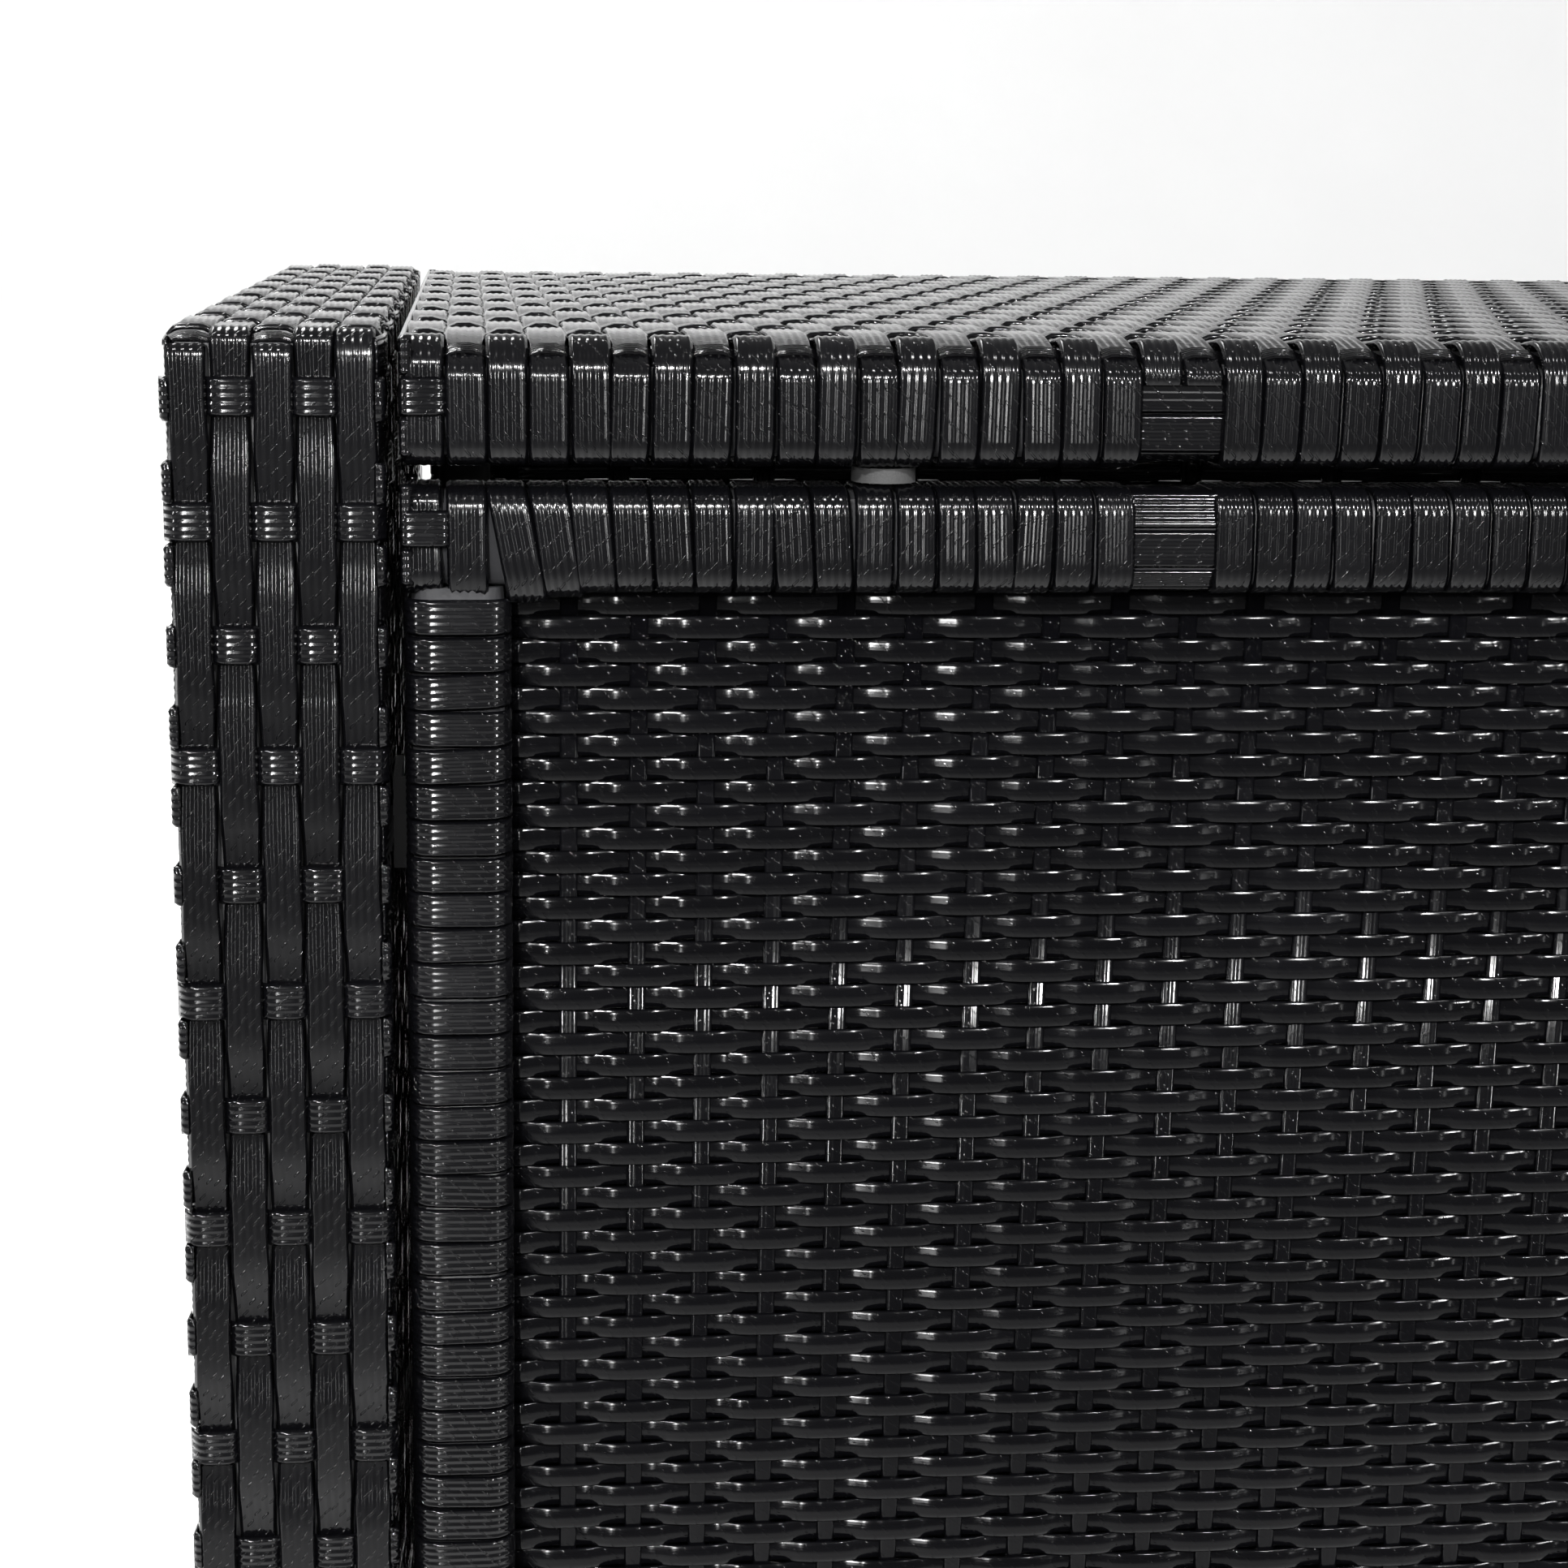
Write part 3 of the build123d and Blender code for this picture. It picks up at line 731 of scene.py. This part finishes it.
def splices(strands, cfg, route, lengths, centre_x, half_span):
    """Lengthwise strands that show where a few wraps are left out, at lengths of the route."""
    reach = np.linspace(centre_x - half_span, centre_x + half_span, 16)
    depth = np.full((len(lengths), len(reach)), 2.3 * MM)
    lay_across(strands, route, lengths, reach, X, depth, cfg.width * 0.96, cfg.thickness, RIDGED)


def frame_bars(name, body, node, span, thin, trim=0.0):
    """Four bars with rounded corners in place of a rectangular frame of square tube: two along X
    and two between them along the span axis, shorter by trim at each end. thin is the axis through
    the frame."""
    low, high = corner_values(node)
    size = (high - low) @ thin - 2 * BAR_INSET
    near = size / 2 + BAR_INSET
    middle = thin * ((low + high) @ thin / 2)
    ends = low @ span + near, high @ span - near
    side, up = (Y, X) if span @ Z else (X, Z)
    bars = Strands(np.random.default_rng(1))
    for end in ends:
        line = np.array([[-high[0] * X, high[0] * X]]) + middle + end * span
        bars.add(line, Y, Z, size, size, SQUARE)
    reach = ends[0] + size / 2 + trim, ends[1] - size / 2 - trim
    for x in (near - high[0], high[0] - near):
        line = np.array([[end * span for end in reach]]) + middle + x * X
        bars.add(line, side, up, size, size, SQUARE)
    bars.build(name, frame_coat(), body, node, slot="frame_steel")


class DECKBOX_OT_front_rear(bpy.types.Operator):
    """Winds the front and rear frames and weaves their infills."""

    bl_idname = "deck_box.front_rear"
    bl_label = "Wind front and rear panels"

    def rails(self, cfg, wide, panel, outward):
        """Winds both rails. Beside a stile the wraps fan out and hang lower, the first of all is
        tucked under the strands over the rail's end, and in front a few are left out."""
        for level in ("top", "bottom"):
            node = f"{panel}_wrap_{level}"
            low, high = corner_values(node)
            rng = np.random.default_rng(cfg.seed + len(node) + ord(level[0]))
            route = wrap_route(low, high, Y, Z, WRAP_STEPS[panel])
            across, z = route.points[:, 1], route.points[:, 2]
            places, pitch = rows_between(low[0] + 1 * MM, high[0] - 1 * MM, cfg.pitch)
            count = len(places)
            order = np.minimum(np.arange(count), np.arange(count)[::-1])
            inner = -1 if level == "top" else 1
            middle = (low[2] + high[2]) / 2
            share = inner * (z - middle) / (high[2] - low[2]) + 0.5
            facing = ease(outward * (across - (low[1] + high[1]) / 2), -4 * MM, 6 * MM)

            fan = np.where(order >= 2, 5.0 * MM * np.exp(-(order - 2) / 2.4), 0) * np.sign(-places)
            lean = rng.normal(0, 0.5, count) * MM + 0.7 * MM
            sideways = places[:, None] + fan[:, None] * share[None] + lean[:, None] * (share[None] - 0.5)
            sideways = sideways + rng.normal(0, 0.22, (count, 1)) * MM

            swell = crown(route, 0.5 * MM, low * (Y + Z), high * (Y + Z))
            loose = rng.random((count, 1)) * 0.25 * MM
            level_band = ease(np.abs(z - (middle + END_LEVEL)), 7.5 * MM, 4.5 * MM)
            tuck = (order == 0)[:, None] * (level_band * facing)[None] * 1.35 * MM
            depth = cfg.thickness * LAID + swell[None] + loose + tuck

            hang = np.select([order == 1, order == 2, order == 3], [3.0, 2.6, 1.2]) * MM
            low_edge = ease(share, 0.86, 0.99) * facing
            centre = route.points[None] - route.normal[None] * depth[..., None]
            centre = centre + X * sideways[..., None]
            centre = centre + Z * (inner * hang)[:, None, None] * low_edge[None, :, None]
            width = cfg.width * pitch / cfg.pitch * (0.985 + 0.03 * rng.random((count, 1)))

            spliced = (panel, level) == ("front", "top")
            keep = ~(spliced & (np.abs(np.abs(places) - SPLICE_X) < 13.5 * MM))
            winding = Strands(rng)
            outline_kind = WRAP_OUTLINES[panel]
            winding.add(
                centre[keep], X, route.normal[None], width[keep], cfg.thickness, outline_kind, True
            )
            if spliced:
                lengths, _ = rows_between(0, route.total, cfg.pitch)
                for side in (-1, 1):
                    splices(winding, cfg, route, lengths, side * SPLICE_X, 17 * MM)
            self.ends(winding, cfg, low, high, outward, middle + END_LEVEL)
            nodes = [node, f"{panel}_corner_wraps"] if level == "top" else [node]
            winding.build(f"{panel}_{level}_winding", wide, "box", *nodes)

    def ends(self, winding, cfg, low, high, outward, level):
        """Three strands over each end of a rail. The middle one crosses the first wrap."""
        front, back = (low[1], high[1]) if outward < 0 else (high[1], low[1])
        levels = np.clip(level + np.array([-1, 0, 1]) * 9.4 * MM, low[2] + 4.4 * MM, high[2] - 4.4 * MM)
        for side in (-1, 1):
            x = low[0] if side < 0 else high[0]
            paths = [
                [(x - side * run, front), (x, front), (x, back), (x - side * 4 * MM, back)]
                for run in (3.4 * MM, 12.5 * MM, 3.4 * MM)
            ]
            end_strands(winding, cfg, levels, paths, 2.0 * MM, 2.2 * MM, 9.2 * MM, -outward * side)

    def stiles(self, cfg, wide, panel):
        for side_name, side in SIDES.items():
            node = f"{panel}_wrap_{side_name}"
            low, high = corner_values(node)
            rng = np.random.default_rng(cfg.seed + 31 + side + len(node))
            route = wrap_route(low, high, X, Y, WRAP_STEPS[panel])
            places, pitch = rows_between(low[2], high[2], 9.35 * MM)
            count = len(places)
            lean = rng.normal(0, 0.4, count) * MM
            share = (route.points[:, 0] - (low[0] + high[0]) / 2) / (high[0] - low[0])
            sideways = places[:, None] + lean[:, None] * share[None]
            sideways = sideways + rng.normal(0, 0.18, (count, 1)) * MM
            loose = rng.random((count, 1)) * 0.25 * MM
            swell = crown(route, 0.5 * MM, low * (X + Y), high * (X + Y))
            depth = cfg.thickness * LAID + loose + swell[None]
            winding = Strands(rng)
            lay_along(
                winding, route, sideways, Z, depth, pitch * 0.985, cfg.thickness, WRAP_OUTLINES[panel]
            )
            winding.build(f"{panel}_{side_name}_winding", wide, "box", node)

    def narrow_infill(self, cfg, narrow):
        """Close plain weave of narrow strand over upright stakes, in four bands. A strand's depth
        follows a cosine of twice the stake pitch, and rows alternate."""
        low, high = corner_values("front_infill")
        rng = np.random.default_rng(cfg.seed + 77)
        rows, pitch = rows_between(low[2], high[2], cfg.narrow_pitch)
        count = int((high[0] - low[0]) / cfg.stake_pitch)
        stakes = (np.arange(count) - (count - 1) / 2) * cfg.stake_pitch
        thin = 1.0 * MM
        ends = [(low[0] - TUCK, low[1]), (high[0] + TUCK, low[1])]
        route = Route(ends, 0, cfg.stake_pitch / 5, X, Y)
        travel = (high[1] - low[1]) - thin
        phase = pi * (route.points[:, 0] - stakes[0]) / cfg.stake_pitch
        for number, band in enumerate(np.array_split(np.arange(len(rows)), 4), 1):
            weave = Strands(rng)
            depth = thin / 2 + travel * dip(phase[None] + pi * band[:, None], 2.2)
            places = rows[band][:, None] + strand_waver(rng, len(band), route.length, 0.05 * MM)
            lay_along(weave, route, places, Z, depth, pitch * 1.02, thin, FLAT)
            if number == 1:
                upright = np.zeros((count, 2, 3))
                upright[..., 0] = stakes[:, None] + rng.normal(0, 0.3, (count, 1)) * MM
                upright[..., 1] = (low[1] + high[1]) / 2
                upright[..., 2] = low[2], high[2]
                weave.add(upright, X, -Y, cfg.stake_width, 0.9 * MM, 8)
            nodes = ["front_infill"] if number == 1 else []
            weave.build(f"front_infill_{number}", narrow, "box", *nodes, slot="resin_strand_narrow")

    def execute(self, context):
        cfg, finish = settings(context)
        wide, narrow = resin(finish)
        for panel, outward in (("front", -1), ("rear", 1)):
            self.rails(cfg, wide, panel, outward)
            self.stiles(cfg, wide, panel)
            frame_bars(f"{panel}_frame_bars", "box", f"{panel}_frame", Z, Y)
        self.narrow_infill(cfg, narrow)
        low, high = corner_values("rear_infill")
        flat_sheet(
            "rear_infill_weave", "rear_infill", wide, cfg, np.random.default_rng(cfg.seed + 91),
            [(low[0] - TUCK, high[1]), (high[0] + TUCK, high[1])], (X, Y), (low[2], high[2]), Z,
            high[1] - low[1], 4.0 * MM,
        )
        return {"FINISHED"}


class DECKBOX_OT_lid(bpy.types.Operator):
    """Weaves the lid's top and winds its edges in the same strands."""

    bl_idname = "deck_box.lid"
    bl_label = "Weave lid"

    def execute(self, context):
        cfg, finish = settings(context)
        wide, _ = resin(finish)
        low, high = corner_values("lid_weave")
        base, inner = corner_values("lid_wrap_front")
        rear_low, _ = corner_values("lid_wrap_rear")
        rng = np.random.default_rng(cfg.seed + 5)
        corners = [
            (inner[1], base[2]), (low[1], base[2]), (low[1], high[2]),
            (high[1], high[2]), (high[1], base[2]), (rear_low[1], base[2]),
        ]
        radii = [0, 7 * MM, 11 * MM, 11 * MM, 7 * MM, 0]
        route = Route(corners, radii, 6.2 * MM, Y, Z, turn_steps=7, outward=-1)
        y, z = route.points[:, 1], route.points[:, 2]
        front_corner = route.length[np.argmin(np.hypot(y - low[1], z - high[2]))]
        rear_corner = route.length[np.argmin(np.hypot(y - high[1], z - high[2]))]
        gaps = int(round((rear_corner - front_corner) / cfg.cross_pitch / 2)) * 2
        gap = (rear_corner - front_corner) / gaps
        places, pitch = rows_between(low[0] + 1 * MM, high[0] - 1 * MM, cfg.pitch)
        columns = np.arange(len(places))
        travel = (high[2] - low[2]) - cfg.thickness
        phase = crossings(route.length, front_corner, gap, columns)
        on_top = ease(route.length, front_corner - 6 * MM, front_corner - 1 * MM)
        on_top = on_top * ease(route.length, rear_corner + 6 * MM, rear_corner + 1 * MM)
        depth = cfg.thickness * LAID + travel * column_dip(phase) * on_top[None]
        # The first wrap at each end is tucked under the strand that crosses it.
        order = np.minimum(columns, columns[::-1])
        level = (base[2] + high[2]) / 2 + 1.2 * MM  # middle strand over each end
        at_front = ease(-y, -low[1] - 4 * MM, -low[1] - 1 * MM)
        tuck = ease(np.abs(z - level), 7.5 * MM, 4.5 * MM) * at_front * 1.3 * MM
        depth = depth + (order == 0)[:, None] * tuck[None]
        lean = rng.normal(0, 0.45, len(places)) * MM
        height_share = (high[2] - z) / (high[2] - base[2])
        side = places[:, None] + strand_waver(rng, len(places), route.length, cfg.waver * 0.4)
        side = side + lean[:, None] * height_share[None]
        narrow = 1.0 + 0.03 * between(route.length, front_corner, gap)
        narrow = np.where(on_top > 0.5, narrow, 0.985)
        width = np.broadcast_to(pitch * narrow, side.shape)

        # Where wraps are left out the columns start at the top of the front face.
        spliced = np.abs(np.abs(places) - SPLICE_X) < 10.2 * MM
        cut_short = slice(int(np.searchsorted(route.length, front_corner - 14 * MM)), None)
        for half_name, chosen in (("left", places < 0), ("right", places >= 0)):
            top = Strands(rng)
            for columns_kept, part in ((chosen & ~spliced, slice(None)), (chosen & spliced, cut_short)):
                parts = [rows[columns_kept][:, part] for rows in (side, depth, width)]
                lay_along(top, route, parts[0], X, *parts[1:], cfg.thickness, RIDGED, part)
            nodes = ["lid_weave", "lid_wrap_front", "lid_wrap_rear"] if half_name == "left" else []
            top.build(f"lid_top_{half_name}", wide, "lid", *nodes)

        # Cross strands, a narrow rim strand along the front and the rear edge, and the ends.
        cross = Strands(rng)
        rows = front_corner + gap * np.arange(1, gaps)
        cuts = int((high[0] - low[0]) / (3.4 * MM))
        reach = np.linspace(low[0] + 0.3 * MM, high[0] - 0.3 * MM, cuts)
        cross_phase = crossings(reach, places[0], pitch, np.arange(2, gaps + 1))
        fall = ease(np.abs(reach), high[0] - 2.4 * MM, high[0]) * 1.8 * MM
        cross_depth = cfg.thickness / 2 + travel * dip(cross_phase, 2.3) + fall
        lay_across(cross, route, rows, reach, X, cross_depth, cfg.width * 0.96, cfg.thickness, 8)
        rims = np.array([front_corner + 2.6 * MM, rear_corner - 2.6 * MM])
        rim_phase = crossings(reach, places[0], pitch, np.array([1, gaps + 1]))
        rim_depth = cfg.thickness / 2 + 0.6 * MM + travel * dip(rim_phase, 2.3)
        lay_across(cross, route, rims, reach, X, rim_depth, 6.5 * MM, cfg.thickness, 10)
        face, _ = rows_between(0, front_corner - 6 * MM, cfg.pitch)
        for way in (-1, 1):
            splices(cross, cfg, route, face, way * SPLICE_X, 13 * MM)
        self.side_faces(cross, cfg, low, high, base[2], level)
        frame_bars("lid_frame_bars", "lid", "lid_frame", Y, Z, BAR_INSET)
        cross.build("lid_cross_strands", wide, "lid", "lid_wrap_left", "lid_wrap_right")
        return {"FINISHED"}

    def side_faces(self, cross, cfg, low, high, bottom, level):
        """Three strands along each end of the lid, turned in at its corners, the middle one over
        the first wrap, and the wraps under each end tube."""
        levels = level + np.array([-1, 0, 1]) * 9.8 * MM
        for side_name, way in SIDES.items():
            x = way * high[0]
            paths = [
                [(x - way * run, low[1]), (x, low[1]), (x, high[1]), (x - way * run, high[1])]
                for run in (3.4 * MM, 12.8 * MM, 3.4 * MM)
            ]
            end_strands(cross, cfg, levels, paths, 2.2 * MM, 5 * MM, 9.6 * MM, way)
            inner_low, inner_high = corner_values(f"lid_wrap_{side_name}")
            inside = inner_high[0] if way < 0 else inner_low[0]
            corners = [(x, bottom + 4 * MM), (x, bottom), (inside, bottom), (inside, inner_high[2])]
            under = Route(corners, 2.5 * MM, 8 * MM, X, Z, turn_steps=4, outward=-way)
            spots, pitch = rows_between(inner_low[1], inner_high[1], cfg.pitch)
            places = np.repeat(spots[:, None], len(under.length), 1)
            depth = np.full(places.shape, cfg.thickness / 2)
            lay_along(cross, under, places, Y, depth, pitch * 0.985, cfg.thickness, 8)


class DECKBOX_OT_floor(bpy.types.Operator):
    """Weaves the floor of the box."""

    bl_idname = "deck_box.floor"
    bl_label = "Weave floor"

    def execute(self, context):
        cfg, finish = settings(context)
        wide, _ = resin(finish)
        low, high = corner_values("floor_weave")
        flat_sheet(
            "floor_weave_strands", "floor_weave", wide, cfg, np.random.default_rng(cfg.seed + 55),
            [(low[0], high[2]), (high[0], high[2])], (X, Z), (low[1], high[1]), Y,
            high[2] - low[2], 5 * MM,
        )
        return {"FINISHED"}


class DECKBOX_OT_hardware(bpy.types.Operator):
    """Gives frames, hinges, struts, screws and feet their finishes."""

    bl_idname = "deck_box.hardware"
    bl_label = "Finish hardware"

    def execute(self, context):
        _, finish = settings(context)
        coat = rgba(finish.coat_colour)[:3]
        finishes = {
            "frame_steel": frame_coat(),
            "black_paint": powder_coat("bar_coat", coat, 700.0),
            "bracket_steel": powder_coat("bracket_coat", coat, 1200.0),
            "zinc_steel": bright_metal("zinc_plate", (0.50, 0.51, 0.52), 0.28, 1.0),
            "strut_chrome": bright_metal("hard_chrome", (0.72, 0.72, 0.73), 0.06, 0.4),
            "strut_black": powder_coat("strut_paint", (0.010, 0.010, 0.011), 400.0),
            "foot_plastic": moulded("foot_moulding", (0.018, 0.018, 0.018), 0.5, 1500.0),
            "rubber": moulded("bumper_rubber", (0.014, 0.014, 0.014), 0.7, 1800.0),
        }
        slots = {part["node"]: part["material_slot"] for part in frame["record"]["subparts"]}
        for node, thing in frame["nodes"].items():
            material = finishes.get(slots.get(node))
            if material is None:
                continue
            for holder in thing.material_slots:
                holder.material = material
        return {"FINISHED"}


# Stage


# Name, place, point looked at, width and height, watts, spread in degrees.
LAMPS = (
    ("high_0", (-1.15, -1.9, 1.7), (-0.66, -0.2, 0.5), (0.11, 0.12), 6.0, 50),
    ("top_0", (-1.15, -0.6, 1.7), (-0.92, -0.2, 0.5), (0.14, 0.12), 2.4, 80),
    ("high_1", (0.25, -1.9, 1.7), (-0.1, -0.2, 0.5), (0.11, 0.12), 6.0, 50),
    ("top_1", (0.25, -0.6, 1.7), (0.2, -0.2, 0.5), (0.14, 0.12), 2.4, 80),
    ("left_box", (-0.95, -2.2, 1.1), (-0.4, -0.25, 0.45), (0.06, 0.4), 3.0, 50),
    ("right_box", (1.2, -1.65, 1.1), (-0.35, -0.25, 0.45), (0.06, 0.4), 2.6, 50),
    ("left_low", (-0.95, -2.2, 0.45), (-0.4, -0.25, 0.45), (0.05, 0.8), 0.6, 50),
    ("right_low", (0.95, -1.9, 0.45), (-0.35, -0.25, 0.45), (0.05, 0.8), 0.2, 50),
    ("side_box", (-2.2, -0.9, 1.1), (-0.6, -0.1, 0.4), (0.07, 0.5), 2.6, 60),
    ("floor_wash", (-2.6, 2.2, 2.8), (-2.4, 1.5, 0.0), (3.0, 2.2), 190, 100),
    ("wall_wash", (0.8, 3.4, 3.2), (0.8, 5.0, 1.0), (8.0, 0.8), 50, 110),
)


def sweep_floor(reach):
    """Floor and rear wall in one sheet: flat to the bend, a quarter round, then up. Each profile
    point is carried along X, so place = (x, y of profile, z of profile)."""
    bend, wall = 1.2, 4.5
    angle = np.linspace(0, pi / 2, 14)
    out = np.concatenate([[-reach], reach - bend + bend * np.sin(angle), [reach]])
    rise = np.concatenate([[0.0], bend - bend * np.cos(angle), [wall]])
    wide = np.linspace(-1.6 * reach, 1.6 * reach, 9)
    sheet = np.stack(np.broadcast_arrays(wide[None], out[:, None], rise[:, None]), -1)
    rows, count = len(out), len(wide)
    grid = np.arange(rows * count).reshape(rows, count)
    quads = np.stack([grid[:-1, :-1], grid[:-1, 1:], grid[1:, 1:], grid[1:, :-1]], -1).reshape(-1, 4)
    mesh = bpy.data.meshes.new("stage_sweep")
    mesh.from_pydata(sheet.reshape(-1, 3).tolist(), [], quads.tolist())
    mesh.polygons.foreach_set("use_smooth", np.ones(len(mesh.polygons), bool))
    mesh.update()
    sweep = bpy.data.objects.new("stage_sweep", mesh)
    bpy.context.scene.collection.objects.link(sweep)
    return sweep


def softbox(name, place, aim, size, power, spread):
    """Area light that looks at a point, its spread in degrees."""
    lamp = bpy.data.lights.new(name, "AREA")
    lamp.shape = "RECTANGLE"
    lamp.size, lamp.size_y = size
    lamp.energy = power
    lamp.spread = radians(spread)
    thing = bpy.data.objects.new(name, lamp)
    bpy.context.scene.collection.objects.link(thing)
    thing.location = place
    way = np.array(aim, float) - np.array(place, float)
    thing.rotation_euler = Vector(way).to_track_quat("-Z", "Y").to_euler()
    thing.visible_camera = False


class DECKBOX_OT_stage(bpy.types.Operator):
    """Sets the floor, the soft lights and the camera."""

    bl_idname = "deck_box.stage"
    bl_label = "Set stage"

    def execute(self, context):
        scene = context.scene
        cfg = scene.deck_box_stage
        sweep = sweep_floor(cfg.reach)
        paint = Finish("stage_paper")
        mottle = paint.noise(3.0, 2.0)
        paint.set(base_color=paint.mix(mottle, (0.86, 0.86, 0.86, 1), (0.90, 0.90, 0.90, 1)))
        paint.uniform("Roughness", 0.9)
        sweep.data.materials.append(paint.material)

        world = bpy.data.worlds.new("studio")
        scene.world = world
        world.use_nodes = True
        even = world.node_tree.nodes["Background"]
        even.inputs["Color"].default_value = (1, 1, 1, 1)
        even.inputs["Strength"].default_value = cfg.world_strength

        for lamp in LAMPS:
            softbox(*lamp)

        lens = bpy.data.cameras.new("camera")
        lens.lens = cfg.lens
        lens.sensor_width = 36.0
        lens.shift_x, lens.shift_y = cfg.shift_x, cfg.shift_y
        lens.clip_start = 0.01
        camera = bpy.data.objects.new("camera", lens)
        scene.collection.objects.link(camera)
        camera.location = cfg.camera_place
        turn = Matrix.Rotation(-cfg.camera_turn, 3, "Z") @ Matrix.Rotation(pi / 2 - cfg.camera_tilt, 3, "X")
        camera.rotation_euler = (turn @ Matrix.Rotation(cfg.camera_roll, 3, "Z")).to_euler()
        scene.camera = camera
        scene.view_settings.view_transform = "Standard"
        return {"FINISHED"}


class DECKBOX_PT_sidebar(bpy.types.Panel):
    """Lists the steps that make the box."""

    bl_idname = "DECKBOX_PT_sidebar"
    bl_label = "Deck box"
    bl_space_type = "VIEW_3D"
    bl_region_type = "UI"
    bl_category = "Deck box"

    def draw(self, context):
        for step in STEPS:
            self.layout.operator(step.bl_idname)
        for group in ("deck_box_strand", "deck_box_finish", "deck_box_stage"):
            box = self.layout.box()
            holder = getattr(context.scene, group)
            for name in holder.__annotations__:
                box.prop(holder, name)


GROUPS = {
    "deck_box_strand": StrandSettings,
    "deck_box_finish": FinishSettings,
    "deck_box_stage": StageSettings,
}
STEPS = (
    DECKBOX_OT_side_panels,
    DECKBOX_OT_front_rear,
    DECKBOX_OT_lid,
    DECKBOX_OT_floor,
    DECKBOX_OT_hardware,
    DECKBOX_OT_stage,
)


def register():
    for cls in (*GROUPS.values(), *STEPS, DECKBOX_PT_sidebar):
        bpy.utils.register_class(cls)
    for name, group in GROUPS.items():
        setattr(bpy.types.Scene, name, PointerProperty(type=group))


def unregister():
    for name in GROUPS:
        delattr(bpy.types.Scene, name)
    for cls in reversed((*GROUPS.values(), *STEPS, DECKBOX_PT_sidebar)):
        bpy.utils.unregister_class(cls)


def main():
    register()
    bpy.ops.deck_box.side_panels()
    bpy.ops.deck_box.front_rear()
    bpy.ops.deck_box.lid()
    bpy.ops.deck_box.floor()
    bpy.ops.deck_box.hardware()
    bpy.ops.deck_box.stage()


if __name__ == "__main__":
    main()
